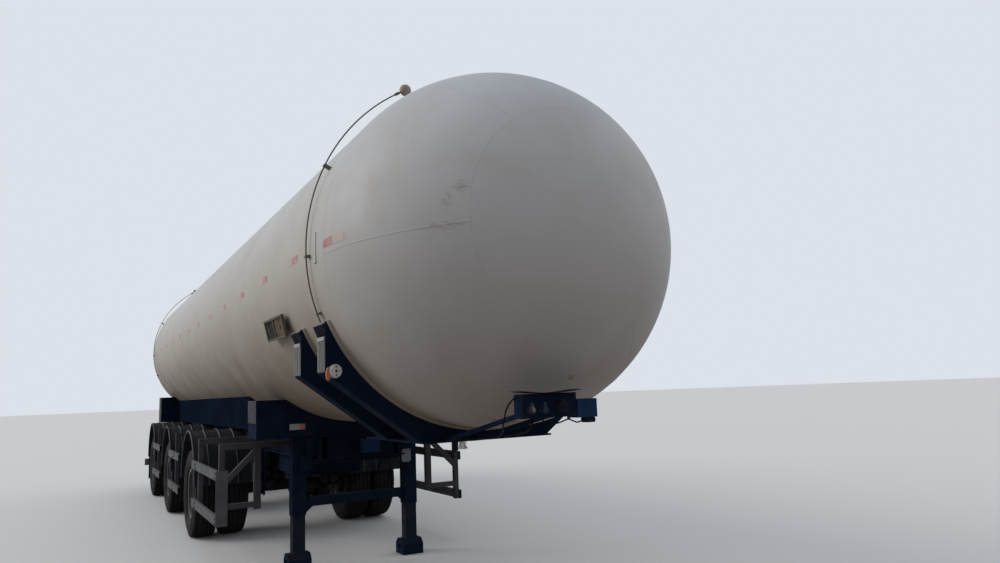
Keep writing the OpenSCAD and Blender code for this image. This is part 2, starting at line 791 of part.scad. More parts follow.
// Hanger brackets under the rails, one ahead of each axle on each side.
module hangers() {
    color("midnightblue") both_sides() for (i = [0:2]) for (s = [-1, 1])
        along(rail_y + s * 50 - 6, rail_y + s * 50 + 6) polygon([
            [axle_x(i) + hanger_ahead + 130, rail_low_h], [axle_x(i) + hanger_ahead - 130, rail_low_h],
            [axle_x(i) + hanger_ahead - 60, arm_h - 60], [axle_x(i) + hanger_ahead + 60, arm_h - 60]
        ]);
}

arm_rear = 430;
spring_h = arm_h + 95;

// Trailing arms from the hangers over the axles to the air springs.
module trailing_arms() {
    color("dimgray") both_sides() for (i = [0:2]) {
        x = axle_x(i);
        difference() {
            along(rail_y - 43.7, rail_y + 43.7) polygon([
                [x + hanger_ahead + 50, arm_h - 45], [x + hanger_ahead + 50, arm_h + 45],
                [x + 90, wheel_h + 150], [x - 90, wheel_h + 150],
                [x - 200, spring_h], [x - arm_rear, spring_h], [x - arm_rear, spring_h - 70],
                [x - 90, wheel_h - 20], [x + 90, wheel_h - 20]
            ]);
            translate([x, 0, wheel_h]) rotate([90, 0, 0]) cylinder(d = axle_d + 2 * seat, h = 4 * rail_y, center = true, $fn = 48);
        }
    }
}

// Rolled air springs between the arms' rear ends and the rails.
module air_springs() {
    h = rail_low_h - spring_h - seat;
    color("black") both_sides() for (i = [0:2])
        translate([axle_x(i) - arm_rear + 110, rail_y, rail_low_h - h]) rotate_extrude($fn = 48)
            polygon([
                [0, 0], [90, 0], [90, 50], [125, 75], [140, 110], [140, h - 60], [125, h - 25], [110, h], [0, h]
            ]);
}

// Half width of a tyre at height u between bead (-1) and tread (1), as a rounded square.
function tyre_half(w, u) = w / 2 * pow(1 - pow(abs(u), 3.2), 1 / 3.2);

bead_r = seat_d / 2 + seat;
rim_half = 114;
rim_t = 8;
bead_half = rim_half - rim_t - seat;
bead_w = 22;
tread_t = 28;
side_t = 16;

// The outline of a tyre's section about its own middle: x is the radius, y the width.
// It starts with straight beads from r_open and goes on as a rounded square.
function tyre_outline(w, bead, r_open, r_out) =
    let (
        rm = (bead_r + r_out) / 2,
        hh = (r_out - bead_r) / 2,
        us = [-0.7, -0.4, 0, 0.4, 0.75, 0.92, 1],
        half = concat(
            [[r_open, bead], [bead_r + 14, bead]],
            [for (u = us) [rm + hh * u, tyre_half(w, u)]]
        )
    )
    concat(half, [for (i = [len(half) - 1:-1:0]) [half[i][0], -half[i][1]]]);

// One tyre: a hollow section, open at the rim, with four grooves round the tread.
module tyre() {
    rotate([90, 0, 0]) rotate_extrude($fn = ROUND) difference() {
        polygon(tyre_outline(tyre_w, bead_half, bead_r, wheel_h));
        polygon(tyre_outline(tyre_w - 2 * side_t, bead_half - bead_w, bead_r - 1, wheel_h - tread_t));
        for (y = [-78, -27, 27, 78]) translate([wheel_h - 12, y - 5]) square([20, 10]);
    }
}

// The pair of tyres of one wheel set.
module tyre_pair(i, side) {
    color("#202020") for (s = [-1, 1])
        translate([axle_x(i), side * (dual_mid + s * dual_pitch / 2), wheel_h]) tyre();
}

rim_well_r = seat_d / 2 - 24;
disc_r = rim_well_r - 57;
hub_r = spindle_d / 2 + 47;
drum_r = rim_well_r - 52;

// The half section of one rim on the outer side of the middle: disc, cone, barrel, flanges.
module rim_section() {
    c = dual_pitch / 2;
    seat_r = seat_d / 2;
    square_at = [c - rim_half, c + rim_half];
    polygon([
        [hub_r - 4, 0], [disc_r, 0], [rim_well_r, square_at[0]],
        [seat_r + 12, square_at[0]], [seat_r + 12, square_at[0] + rim_t],
        [seat_r, square_at[0] + rim_t], [seat_r, square_at[0] + rim_t + 30],
        [rim_well_r + rim_t, square_at[0] + rim_t + 60], [rim_well_r + rim_t, square_at[1] - rim_t - 60],
        [seat_r, square_at[1] - rim_t - 30], [seat_r, square_at[1] - rim_t],
        [seat_r + 12, square_at[1] - rim_t], [seat_r + 12, square_at[1]],
        [rim_well_r, square_at[1]], [rim_well_r, square_at[0] + rim_t],
        [disc_r - 4, rim_t], [hub_r - 4, rim_t]
    ]);
}

// Hub, brake drum and both rims of one wheel set as one turned body.
module rim_body() {
    bore_r = spindle_d / 2 + run;
    rotate_extrude($fn = ROUND) {
        rim_section();
        mirror([0, 1]) rim_section();
        translate([hub_r - 4, -rim_t]) square([disc_r - hub_r, 2 * rim_t]);
        translate([bore_r, hub_in - dual_mid]) square([hub_r - bore_r, dual_mid - hub_in + spindle_len + 15]);
        translate([0, spindle_len + 5]) square([hub_r, 14]);
        translate([0, spindle_len + 12]) square([hub_r - 25, 60]);
        translate([drum_r - 14, hub_in - dual_mid]) square([14, dual_mid - hub_in - 20]);
        translate([hub_r - 4, -38]) square([drum_r - hub_r + 4, 18]);
        translate([hub_r - 4, -22]) square([60, 24]);
    }
}

hand_holes = 10;
hand_hole_d = 42;

// One wheel set, with a ring of hand holes through both discs' cones.
module rims(i, side) {
    color("gainsboro") translate([axle_x(i), side * dual_mid, wheel_h]) rotate([side * -90, 0, 0])
        difference() {
            rim_body();
            for (k = [0:hand_holes - 1]) rotate([0, 0, k * 360 / hand_holes])
                translate([(drum_r + rim_well_r) / 2 + 1, 0, -rim_half])
                    cylinder(d = hand_hole_d, h = 2 * rim_half, $fn = 32);
        }
}

module tyres_1_right() { tyre_pair(0, -1); }
module tyres_1_left() { tyre_pair(0, 1); }
module tyres_2_right() { tyre_pair(1, -1); }
module tyres_2_left() { tyre_pair(1, 1); }
module tyres_3_right() { tyre_pair(2, -1); }
module tyres_3_left() { tyre_pair(2, 1); }
module rims_1_right() { rims(0, -1); }
module rims_1_left() { rims(0, 1); }
module rims_2_right() { rims(1, -1); }
module rims_2_left() { rims(1, 1); }
module rims_3_right() { rims(2, -1); }
module rims_3_left() { rims(2, 1); }

fender_y = tyre_out + 20;
rib_w = 50;

// Round fenders over the tyre pairs, each on a stay from the rail.
module fenders() {
    color("black") both_sides() for (i = [0:2]) {
        along(fender_y - fender_w, fender_y) translate([axle_x(i), fender_h]) intersection() {
            difference() {
                circle(r = fender_r, $fn = ROUND);
                circle(r = fender_r - fender_t, $fn = ROUND);
            }
            translate([-fender_r, 0]) square([2 * fender_r, fender_r]);
        }
        block([axle_x(i) - rib_w / 2, rail_y + flange_w / 2, fender_top_h - 20], [axle_x(i) + rib_w / 2, fender_y, fender_top_h + 6]);
        block([axle_x(i) - 60, rail_y + flange_w / 2, min(fender_top_h - 20, rail_high_h - 60)],
              [axle_x(i) + 60, rail_y + flange_w / 2 + 10, max(fender_top_h + 6, rail_high_h - 5)]);
    }
}

flap_t = 8;

// Rubber flaps behind the last wheels, hung from the fenders' rear ends.
module mud_flaps() {
    x = axle_x(2) - fender_r;
    color("black") both_sides()
        block([x - flap_t, fender_y - fender_w + 15, 250], [x, fender_y - 15, fender_h + 100]);
}

bumper_x = frame_rear_x + 60;
bumper_low_h = 430;
bumper_high_h = 550;

// The rear under-run bar on two drop brackets.
module rear_bumper() {
    color("slategray") {
        block([bumper_x - 100, -half_w + 50, bumper_low_h], [bumper_x, half_w - 50, bumper_high_h]);
        both_sides() block([bumper_x, rail_y - 60, bumper_low_h], [bumper_x + 12, rail_y + 60, rail_low_h]);
        both_sides() along(rail_y - 5, rail_y + 5)
            polygon([[bumper_x + 12, bumper_high_h], [bumper_x + 12, rail_low_h], [bumper_x + 260, rail_low_h]]);
    }
}

// Round lamp clusters on the rear bar's ends.
module rear_lamps() {
    color("darkred") both_sides() for (y = [760, 900, 1040])
        translate([bumper_x - 100, y, bumper_high_h + 62]) rotate([0, -90, 0]) cylinder(d = 110, h = 40, $fn = 40);
    color("darkred") both_sides()
        block([bumper_x - 100, 690, bumper_high_h], [bumper_x - 88, 1110, bumper_high_h + 125]);
}

cabinet_len = 950;
cabinet_front_x = leg_x - 840;
cabinet_half_w = rail_y - flange_w / 2;
cabinet_low_h = rail_low_h - 230;
cabinet_wall = 5;

// The valve cabinet between the rails' flanges, open towards the tank.
module valve_cabinet() {
    w = cabinet_wall;
    color("midnightblue") difference() {
        block([cabinet_front_x - cabinet_len, -cabinet_half_w, cabinet_low_h], [cabinet_front_x, cabinet_half_w, rail_high_h]);
        block([cabinet_front_x - cabinet_len + w, -cabinet_half_w + w, cabinet_low_h + w],
              [cabinet_front_x - w, cabinet_half_w - w, rail_high_h + 1]);
    }
}

tank_shell();
front_head();
rear_head();
front_saddle();
second_saddle();
saddle_end_strips();
saddle_caps();
wear_pads();
coupler_plate();
kingpin();
coupling_panel();
panel_hood();
panel_box();
lamp_pipes();
corner_lamps();
front_markers();
placard_frames();
landing_cradle();
rear_cradle();
cradle_end_strips();
cradles();
side_sills();
frame_rails();
cross_members();
valve_box();
leg_tubes();
leg_gears();
leg_tie();
leg_slide_right();
leg_slide_left();
foot_right();
foot_left();
guard_frames();
side_guard_right();
side_guard_left();
axles();
brake_chambers();
hangers();
trailing_arms();
air_springs();
air_reservoir();
tyres_1_right();
tyres_1_left();
tyres_2_right();
tyres_2_left();
tyres_3_right();
tyres_3_left();
rims_1_right();
rims_1_left();
rims_2_right();
rims_2_left();
rims_3_right();
rims_3_left();
fenders();
mud_flaps();
rear_bumper();
rear_lamps();
valve_cabinet();
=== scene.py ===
"""Looks of a pressure tank semi-trailer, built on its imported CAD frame."""
import math

import bmesh
import bpy
import numpy as np
from mathutils import Matrix, Vector

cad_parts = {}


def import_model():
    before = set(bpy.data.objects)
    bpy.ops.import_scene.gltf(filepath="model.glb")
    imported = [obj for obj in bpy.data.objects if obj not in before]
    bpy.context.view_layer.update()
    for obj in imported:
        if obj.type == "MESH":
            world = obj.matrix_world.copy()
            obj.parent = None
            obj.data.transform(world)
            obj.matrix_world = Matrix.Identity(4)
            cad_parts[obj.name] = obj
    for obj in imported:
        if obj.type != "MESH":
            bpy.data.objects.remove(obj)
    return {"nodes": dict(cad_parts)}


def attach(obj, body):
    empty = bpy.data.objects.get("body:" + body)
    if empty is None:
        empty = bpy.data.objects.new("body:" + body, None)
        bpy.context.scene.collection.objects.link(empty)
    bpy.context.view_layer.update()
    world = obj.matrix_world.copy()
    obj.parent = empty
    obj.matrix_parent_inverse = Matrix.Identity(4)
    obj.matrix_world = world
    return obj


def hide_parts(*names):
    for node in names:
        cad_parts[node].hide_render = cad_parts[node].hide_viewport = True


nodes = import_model()["nodes"]
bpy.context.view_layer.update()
scene = bpy.context.scene
scene.view_settings.view_transform = "Standard"

# Camera: it stands at the photograph's place, right of the trailer's front, about eye
# height, tilted up and rolled a little. Its numbers come from a fit of the tank's outline,
# its seams, the legs and the guards.
YAW = math.radians(29.563)
PITCH = math.radians(8.267)
ROLL = math.radians(-2.248)
EYE = Vector((10.217, -2.493, 1.618))
FOCAL_PX = 749.094
PHOTO_W = 1000
SENSOR_W = 36.0
forward = Vector((-math.cos(YAW) * math.cos(PITCH), math.sin(YAW) * math.cos(PITCH), math.sin(PITCH)))
level_right = forward.cross(Vector((0, 0, 1))).normalized()
level_up = level_right.cross(forward)
right = math.cos(ROLL) * level_right + math.sin(ROLL) * level_up
up = -math.sin(ROLL) * level_right + math.cos(ROLL) * level_up
camera_data = bpy.data.cameras.new("camera")
camera_data.sensor_width = SENSOR_W
camera_data.lens = FOCAL_PX / PHOTO_W * SENSOR_W
camera_data.clip_end = 500.0
camera = bpy.data.objects.new("camera", camera_data)
scene.collection.objects.link(camera)
camera.matrix_world = Matrix([(right[i], up[i], -forward[i], EYE[i]) for i in range(3)] + [(0, 0, 0, 1)])
scene.camera = camera

# Studio light: a broad soft key from the trailer's right side and from behind, a soft light
# from above, a weak one from the left, and an even world that is nearly white.
SKY_LIGHT = (0.91, 0.97, 1.06, 1.0)
SKY_STRENGTH = 0.58
SKY_SHOWN = (0.72, 0.76, 0.82, 1.0)


def sun(name, direction, strength, softness, colour=(1.0, 1.0, 1.0)):
    """A sun lamp that shines along direction, with its disc softness degrees wide."""
    data = bpy.data.lights.new(name, "SUN")
    data.energy = strength
    data.color = colour
    data.angle = math.radians(softness)
    lamp = bpy.data.objects.new(name, data)
    lamp.rotation_euler = Vector(direction).to_track_quat("-Z", "Y").to_euler()
    scene.collection.objects.link(lamp)


def show_apart(tree, lighting, shown, output):
    """Lets the camera and reflections see one shader, while the other one lights the object."""
    rays = tree.nodes.new("ShaderNodeLightPath")
    either = tree.nodes.new("ShaderNodeMath")
    either.operation = "MAXIMUM"
    mix = tree.nodes.new("ShaderNodeMixShader")
    for source, target in (
        (rays.outputs["Is Camera Ray"], either.inputs[0]),
        (rays.outputs["Is Glossy Ray"], either.inputs[1]),
        (either.outputs[0], mix.inputs[0]),
        (lighting.outputs[0], mix.inputs[1]),
        (shown.outputs[0], mix.inputs[2]),
        (mix.outputs[0], tree.nodes[output].inputs["Surface"]),
    ):
        tree.links.new(source, target)


sun("key", (0.5, 0.74, -0.46), 1.45, 32, (1.0, 0.98, 0.94))
sun("above", (0.12, 0.05, -1.0), 0.3, 60)
sun("left", (-0.1, -0.9, -0.45), 0.25, 50)
world = bpy.data.worlds.new("studio")
world.use_nodes = True
scene.world = world
sky_light = world.node_tree.nodes["Background"]
sky_light.inputs["Color"].default_value = SKY_LIGHT
sky_light.inputs["Strength"].default_value = SKY_STRENGTH
sky_shown = world.node_tree.nodes.new("ShaderNodeBackground")
sky_shown.inputs["Color"].default_value = SKY_SHOWN
show_apart(world.node_tree, sky_light, sky_shown, "World Output")

# Floor: one pale disc on the ground, wide enough to meet the background. It is pale to the
# camera and in reflections, and darker for the light that it throws back under the trailer.
FLOOR_R = 220.0
FLOOR_DROP = 0.001
FLOOR_PALE = (0.62, 0.61, 0.6, 1)
FLOOR_DULL = (0.28, 0.225, 0.185, 1)


def circle(count):
    """The angles of count even steps round a circle."""
    return np.linspace(0, 2 * np.pi, count + 1)[:-1]


turn = circle(64)
floor_mesh = bpy.data.meshes.new("floor")
floor_mesh.from_pydata(
    np.stack([FLOOR_R * np.cos(turn), FLOOR_R * np.sin(turn), 0 * turn - FLOOR_DROP], 1).tolist(),
    [], [list(range(len(turn)))])
floor = bpy.data.objects.new("floor", floor_mesh)
scene.collection.objects.link(floor)
floor_paint = bpy.data.materials.new("studio_floor")
floor_paint.use_nodes = True
floor_pale = floor_paint.node_tree.nodes["Principled BSDF"]
floor_pale.inputs["Base Color"].default_value = FLOOR_PALE
floor_pale.inputs["Roughness"].default_value = 0.9
floor_dull = floor_paint.node_tree.nodes.new("ShaderNodeBsdfDiffuse")
floor_dull.inputs["Color"].default_value = FLOOR_DULL
show_apart(floor_paint.node_tree, floor_dull, floor_pale, "Material Output")
floor_mesh.materials.append(floor_paint)

# Tank: a rolled shell of five courses with two round heads welded on, painted off-white.
# The paint has chalked unevenly, holds reddish dust low down, and is scuffed on the front
# head. The lower sides also carry a warm tan that is partly dust and partly painted light
# thrown up from the ground, and the top carries a painted cool tint of sky light. Every weld
# stands proud of the plate by about a millimetre.
TANK_R = 1.2
SEAM_X = 5.75
AXIS_H = 2.57
COURSES = 5
CROWN_TILT = math.radians(35)
PETALS = 6
PETAL_FROM = math.radians(-4)
LONG_SEAMS = (math.radians(132), math.radians(48))
BEAD_W = 0.01
BEAD_H = 0.0011
TANK_WHITE = (0.438, 0.438, 0.44)
TANK_CHALK = (0.47, 0.475, 0.485)
TANK_YELLOWED = (0.405, 0.375, 0.325)
# Warm tan for the lower sides: partly dust, partly painted light thrown up from the ground.
TANK_SIDE_DUST_AND_GROUND_LIGHT = (0.42, 0.385, 0.328)
# Painted cool tint of sky light, for the top of the tank.
TANK_TOP_PAINTED_SKY_TINT = (0.36, 0.395, 0.46)
RUN_BROWN = (0.3, 0.25, 0.2)
SOIL = (0.14, 0.102, 0.066)
SPECK_RUST = (0.16, 0.085, 0.05)
SEAM_DIRT = (0.2, 0.16, 0.13)
# Each scuff or rust spot: its centre, its reach along each axis, its share and its colour.
SCUFFS = (
    ((6.643, -0.799, 2.505), (0.16, 0.3, 0.034), 0.42, (0.24, 0.19, 0.15)),
    ((6.7, -0.717, 2.72), (0.05, 0.085, 0.05), 0.5, (0.19, 0.145, 0.115)),
    ((6.656, -0.782, 2.652), (0.05, 0.05, 0.05), 0.45, (0.2, 0.155, 0.125)),
    ((6.554, 0.038, 1.68), (0.03, 0.03, 0.03), 1.0, (0.1, 0.05, 0.03)),
    ((6.1, -0.16, 1.435), (0.16, 0.16, 0.05), 0.8, (0.16, 0.075, 0.04)),
    ((4.64, -1.06, 2.0), (0.05, 0.05, 0.035), 0.9, (0.2, 0.09, 0.05)),
)


class Finish:
    """A material's node tree, with short calls that add a node and return its output."""

    def __init__(self, name, roughness=0.5, metallic=0.0, gloss=0.5):
        self.material = bpy.data.materials.new(name)
        self.material.use_nodes = True
        self.tree = self.material.node_tree
        self.shader = self.tree.nodes["Principled BSDF"]
        for key, value in (("Roughness", roughness), ("Metallic", metallic), ("Specular IOR Level", gloss)):
            self.shader.inputs[key].default_value = value
        self.place = self.node("ShaderNodeTexCoord").outputs["Object"]

    def node(self, kind, inputs=(), **values):
        """Adds a node, sets its plain properties, and links or writes its inputs."""
        made = self.tree.nodes.new(kind)
        for key, value in values.items():
            setattr(made, key, value)
        for key, value in dict(inputs).items():
            self.set(made.inputs[key], value)
        return made

    def set(self, socket, value):
        """Links an output to a socket, or writes a plain value into it."""
        if isinstance(value, bpy.types.NodeSocket):
            self.tree.links.new(value, socket)
        elif isinstance(value, tuple) and socket.type == "RGBA":
            socket.default_value = (*value, 1.0)
        else:
            socket.default_value = value

    def stretched(self, *scales):
        """The object's own coordinates, scaled by axis."""
        return self.node("ShaderNodeMapping", {"Vector": self.place, "Scale": scales}).outputs[0]

    def noise(self, scale, detail=4.0, rough=0.55, at=None, warp=0.0):
        """Noise of about 1/scale metres, from 0 to 1."""
        inputs = {"Vector": at or self.place, "Scale": scale, "Detail": detail, "Roughness": rough,
                  "Distortion": warp}
        return self.node("ShaderNodeTexNoise", inputs).outputs["Fac"]

    def cells(self, scale):
        """Voronoi distance of about 1/scale metres."""
        return self.node("ShaderNodeTexVoronoi", {"Vector": self.place, "Scale": scale}).outputs["Distance"]

    def span(self, value, low, high, to_low=0.0, to_high=1.0):
        """Maps value from low..high to to_low..to_high, clamped and smooth."""
        inputs = {"Value": value, "From Min": low, "From Max": high, "To Min": to_low, "To Max": to_high}
        return self.node("ShaderNodeMapRange", inputs, interpolation_type="SMOOTHSTEP").outputs["Result"]

    def calc(self, operation, a, b):
        """One arithmetic step on two values."""
        return self.node("ShaderNodeMath", {0: a, 1: b}, operation=operation).outputs[0]

    def blend(self, share, a, b):
        """The colour a where share is 0 and b where it is 1."""
        return self.node("ShaderNodeMix", {0: share, 6: a, 7: b}, data_type="RGBA").outputs[2]

    def axis(self, name):
        """One coordinate, in metres."""
        return self.node("ShaderNodeSeparateXYZ", {0: self.place}).outputs[name]

    def facing(self, name):
        """One part of the surface's own direction."""
        normal = self.node("ShaderNodeNewGeometry").outputs["Normal"]
        return self.node("ShaderNodeSeparateXYZ", {0: normal}).outputs[name]

    def near(self, centre, reach):
        """1 at the centre, falling to 0 on an ellipsoid that reaches as far as given on each axis."""
        vector = self.place
        for operation, by in (("SUBTRACT", centre), ("DIVIDE", reach)):
            vector = self.node("ShaderNodeVectorMath", {0: vector, 1: by}, operation=operation).outputs[0]
        length = self.node("ShaderNodeVectorMath", {0: vector}, operation="LENGTH").outputs["Value"]
        return self.span(length, 1.0, 0.35)

    def bump(self, height, strength, depth):
        """Feeds a height, in steps of depth metres, into the shader's normal."""
        made = self.node("ShaderNodeBump", {"Strength": strength, "Distance": depth, "Height": height})
        self.set(self.shader.inputs["Normal"], made.outputs[0])

    def finish(self, colour, rough=None):
        """Sets the colour and, where given, the roughness."""
        self.set(self.shader.inputs["Base Color"], colour)
        if rough is not None:
            self.set(self.shader.inputs["Roughness"], rough)
        return self.material


def cover(material, *names):
    """Gives CAD nodes one material on all their faces."""
    for name in names:
        mesh = nodes[name].data
        mesh.materials.clear()
        mesh.materials.append(material)


def tank_finish(name, seam_tone=0.0):
    """Chalked off-white paint: broad faint patches, fine runs down the sides, road soil low down,
    a warm tan low on the sides that is partly dust and partly painted ground light, and a painted sky tint on
    top.
    """
    f = Finish(name, 0.45, gloss=0.25)
    height = f.axis("Z")
    patches = f.span(f.noise(0.55, 5, 0.6, warp=0.6), 0.38, 0.66)
    colour = f.blend(patches, TANK_WHITE, TANK_CHALK)
    yellow = f.span(f.noise(1.1, 6, 0.65, warp=0.8), 0.45, 0.74, 0.0, 0.6)
    colour = f.blend(yellow, colour, TANK_YELLOWED)
    # Warm tan over the barrel's lower sides, less on the head: partly dust, partly painted ground light.
    side = f.calc("MULTIPLY", f.span(height, 3.35, 2.35), f.span(f.axis("X"), 6.1, 5.3, 0.1, 0.75))
    colour = f.blend(side, colour, TANK_SIDE_DUST_AND_GROUND_LIGHT)
    # Painted sky tint: the colour turns cooler and bluer towards the top of the tank.
    colour = f.blend(f.span(height, 2.9, 3.9, 0.0, 0.55), colour, TANK_TOP_PAINTED_SKY_TINT)
    runs = f.noise(1.0, 5, 0.6, at=f.stretched(14, 3.0, 0.45), warp=0.3)
    streaks = f.calc("MULTIPLY", f.span(runs, 0.56, 0.8), f.span(height, 3.4, 2.2, 0.0, 0.1))
    colour = f.blend(streaks, colour, RUN_BROWN)
    low = f.calc("MULTIPLY", f.span(height, 2.7, 1.55), f.span(f.noise(1.7, 6, 0.62), 0.28, 0.75, 0.65, 1.0))
    spray = f.span(f.axis("X"), 6.1, 5.0, 0.28, 0.98)
    colour = f.blend(f.calc("MULTIPLY", low, spray), colour, SOIL)
    specks = f.span(f.noise(38, 3, 0.5), 0.7, 0.76, 0.0, 0.6)
    rare = f.span(f.noise(2.6, 3, 0.5), 0.58, 0.66)
    colour = f.blend(f.calc("MULTIPLY", specks, rare), colour, SPECK_RUST)
    scratched = f.span(f.noise(1.0, 6, 0.7, at=f.stretched(24, 24, 55)), 0.42, 0.6)
    for centre, reach, share, tone in SCUFFS:
        mark = f.calc("MULTIPLY", f.near(centre, reach), f.calc("MULTIPLY", scratched, share))
        colour = f.blend(mark, colour, tone)
    if seam_tone:
        colour = f.blend(seam_tone, colour, SEAM_DIRT)
    rough = f.span(f.noise(3.0, 5, 0.6), 0.3, 0.7, 0.52, 0.7)
    wave = f.calc("ADD", f.noise(1.1, 2, 0.4), f.calc("MULTIPLY", f.noise(90, 3, 0.5), 0.02))
    f.bump(wave, 0.3, 0.01)
    return f.finish(colour, rough)


def make_piece(name, parts, material, body="root", smooth=False):
    """Joins (points, faces) parts into one closed piece that rides on a body."""
    faces = []
    start = 0
    for points, part_faces in parts:
        faces += [[i + start for i in face] for face in part_faces]
        start += len(points)
    mesh = bpy.data.meshes.new(name)
    mesh.from_pydata(np.concatenate([part[0] for part in parts]).tolist(), [], faces)
    mesh.materials.append(material)
    shape = bmesh.new()
    shape.from_mesh(mesh)
    bmesh.ops.recalc_face_normals(shape, faces=shape.faces)
    shape.to_mesh(mesh)
    shape.free()
    mesh.polygons.foreach_set("use_smooth", [smooth] * len(mesh.polygons))
    piece = bpy.data.objects.new(name, mesh)
    scene.collection.objects.link(piece)
    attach(piece, body)
    return piece


def grid_faces(rows, columns, wrap_rows=False, wrap_columns=True):
    """Quads between neighbours of a rows by columns grid of points."""
    i, j = np.meshgrid(np.arange(rows if wrap_rows else rows - 1),
                       np.arange(columns if wrap_columns else columns - 1), indexing="ij")
    i = i.ravel()
    j = j.ravel()
    i1 = (i + 1) % rows
    j1 = (j + 1) % columns
    return np.stack([i * columns + j, i * columns + j1, i1 * columns + j1, i1 * columns + j], 1).tolist()


def capped_faces(rows, columns):
    """Quads round a tube of points, with a flat cap on its first and on its last ring."""
    last = (rows - 1) * columns
    return grid_faces(rows, columns) + [list(range(columns))[::-1], list(range(last, last + columns))]


def weld(path, normals, width, height, closed):
    """A bead: an ellipse across the path, as wide as width and standing height proud, rippled."""
    along = np.roll(path, -1, 0) - np.roll(path, 1, 0) if closed else np.gradient(path, axis=0)
    along /= np.linalg.norm(along, axis=1, keepdims=True)
    side = np.cross(normals, along)
    side /= np.linalg.norm(side, axis=1, keepdims=True)
    turn = circle(8)
    ripple = 1 + 0.12 * np.sin(np.arange(len(path)) * 1.9)
    if not closed:
        ripple[[0, -1]] *= 0.25
    w = (ripple * width / 2)[:, None, None]
    h = (ripple * height)[:, None, None]
    points = (path[:, None, :] + side[:, None, :] * w * np.cos(turn)[None, :, None]
              + normals[:, None, :] * h * np.sin(turn)[None, :, None])
    faces = grid_faces(len(path), 8, wrap_rows=True) if closed else capped_faces(len(path), 8)
    return points.reshape(-1, 3), faces


def head_point(tilt, around, r, end=1):
    """A point on a head: tilt from the pole, around from level on the trailer's right, upwards."""
    tilt, around = np.broadcast_arrays(tilt, around)
    return np.stack([end * (SEAM_X + r * np.cos(tilt)), -r * np.sin(tilt) * np.cos(around),
                     AXIS_H + r * np.sin(tilt) * np.sin(around)], -1)


def head_weld(tilt, around, end, height, closed):
    """A bead on a head, with the head's outward direction as its normals."""
    outward = head_point(tilt, around, 1.0, end) - np.array([end * SEAM_X, 0.0, AXIS_H])
    return weld(head_point(tilt, around, TANK_R, end), outward, BEAD_W, height, closed)


def barrel_weld(x, around, closed):
    """A bead on the shell, around from level on the trailer's right, upwards."""
    x, around = np.broadcast_arrays(x, around)
    outward = np.stack([0 * x, -np.cos(around), np.sin(around)], -1)
    path = np.stack([x, 0 * x, 0 * x + AXIS_H], -1) + TANK_R * outward
    return weld(path, outward, BEAD_W, BEAD_H, closed)


tank_paint = tank_finish("tank_paint")
seam_paint = tank_finish("seam_paint", 0.06)
cover(tank_paint, "tank_shell", "front_head", "rear_head", "wear_pads")
ring = circle(360)
petal_tilt = np.linspace(CROWN_TILT, np.pi / 2, 70)
weld_parts = []
for end in (1, -1):
    weld_parts.append(head_weld(CROWN_TILT, ring, end, BEAD_H * 0.5, True))
    for k in range(PETALS):
        weld_parts.append(head_weld(petal_tilt, PETAL_FROM + k * 2 * np.pi / PETALS, end, BEAD_H, False))
course_x = [-SEAM_X + 2 * SEAM_X * k / COURSES for k in range(COURSES + 1)]
for x in course_x:
    weld_parts.append(barrel_weld(x, ring, True))
for k in range(COURSES):
    weld_parts.append(barrel_weld(np.linspace(course_x[k], course_x[k + 1], 90), LONG_SEAMS[k % 2], False))
make_piece("tank_welds", weld_parts, seam_paint)

# Heads: hemispheres of the tank's plate, shown as fine smooth shells in place of the CAD's
# coarser ones, so that no facet shows at the poles.
PLATE_T = 0.012
POLE_TILT = 0.004
HEAD_ROWS = 121
out_tilt = np.linspace(POLE_TILT, np.pi / 2, HEAD_ROWS)
head_tilt = np.concatenate([out_tilt, np.linspace(np.pi / 2, POLE_TILT, HEAD_ROWS)])
head_r = np.repeat([TANK_R, TANK_R - PLATE_T], HEAD_ROWS)
for end, name in ((1, "front"), (-1, "rear")):
    points = head_point(head_tilt[:, None], ring[None, ::2], head_r[:, None], end)
    parts = [(points.reshape(-1, 3), capped_faces(*points.shape[:2]))]
    head = make_piece(f"{name}_head_plate", parts, tank_paint, smooth=True)
    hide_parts(f"{name}_head")
    head.data.set_sharp_from_angle(angle=math.radians(40))

# Reflective tape: strips 300 by 50 mm stuck along the tank at axis height, half red and
# half white, faded and dusty, and one more on the front head.
TAPE_LEN = 0.3
TAPE_H = 0.05
TAPE_T = 0.0012
TAPE_PITCH = 0.945
FIRST_TAPE_BACK = 0.92
TAPES = 12
HEAD_TAPE = (-0.048, 0.004)


def slab(layers):
    """A thin closed slab between two grids of points, with walls round its rim."""
    rows, columns = layers[0].shape[:2]
    upper = rows * columns
    lid = np.array(grid_faces(rows, columns, wrap_columns=False))
    edge = ([i * columns for i in range(rows)] + [upper - columns + j for j in range(1, columns)]
            + [i * columns + columns - 1 for i in range(rows - 2, -1, -1)] + list(range(columns - 2, 0, -1)))
    walls = [[a, b, b + upper, a + upper] for a, b in zip(edge, edge[1:] + edge[:1])]
    points = np.concatenate([layer.reshape(-1, 3) for layer in layers])
    return points, (lid + upper).tolist() + lid[:, ::-1].tolist() + walls


def tape_patch(s0, s1, h0=-TAPE_H / 2, h1=TAPE_H / 2):
    """A thin curved slab: s runs along the tank and over the head, h up the side, both in metres."""
    s, h = np.meshgrid(np.linspace(s0, s1, 9), np.linspace(h0, h1, 5), indexing="ij")
    beyond = np.clip(s - SEAM_X, 0, None) / TANK_R
    layers = []
    for r in (TANK_R - 0.001, TANK_R + TAPE_T):
        ring_r = r * np.cos(beyond)
        layers.append(np.stack([np.minimum(s, SEAM_X) + r * np.sin(beyond), -ring_r * np.cos(h / TANK_R),
                                AXIS_H + ring_r * np.sin(h / TANK_R)], -1))
    return slab(layers)


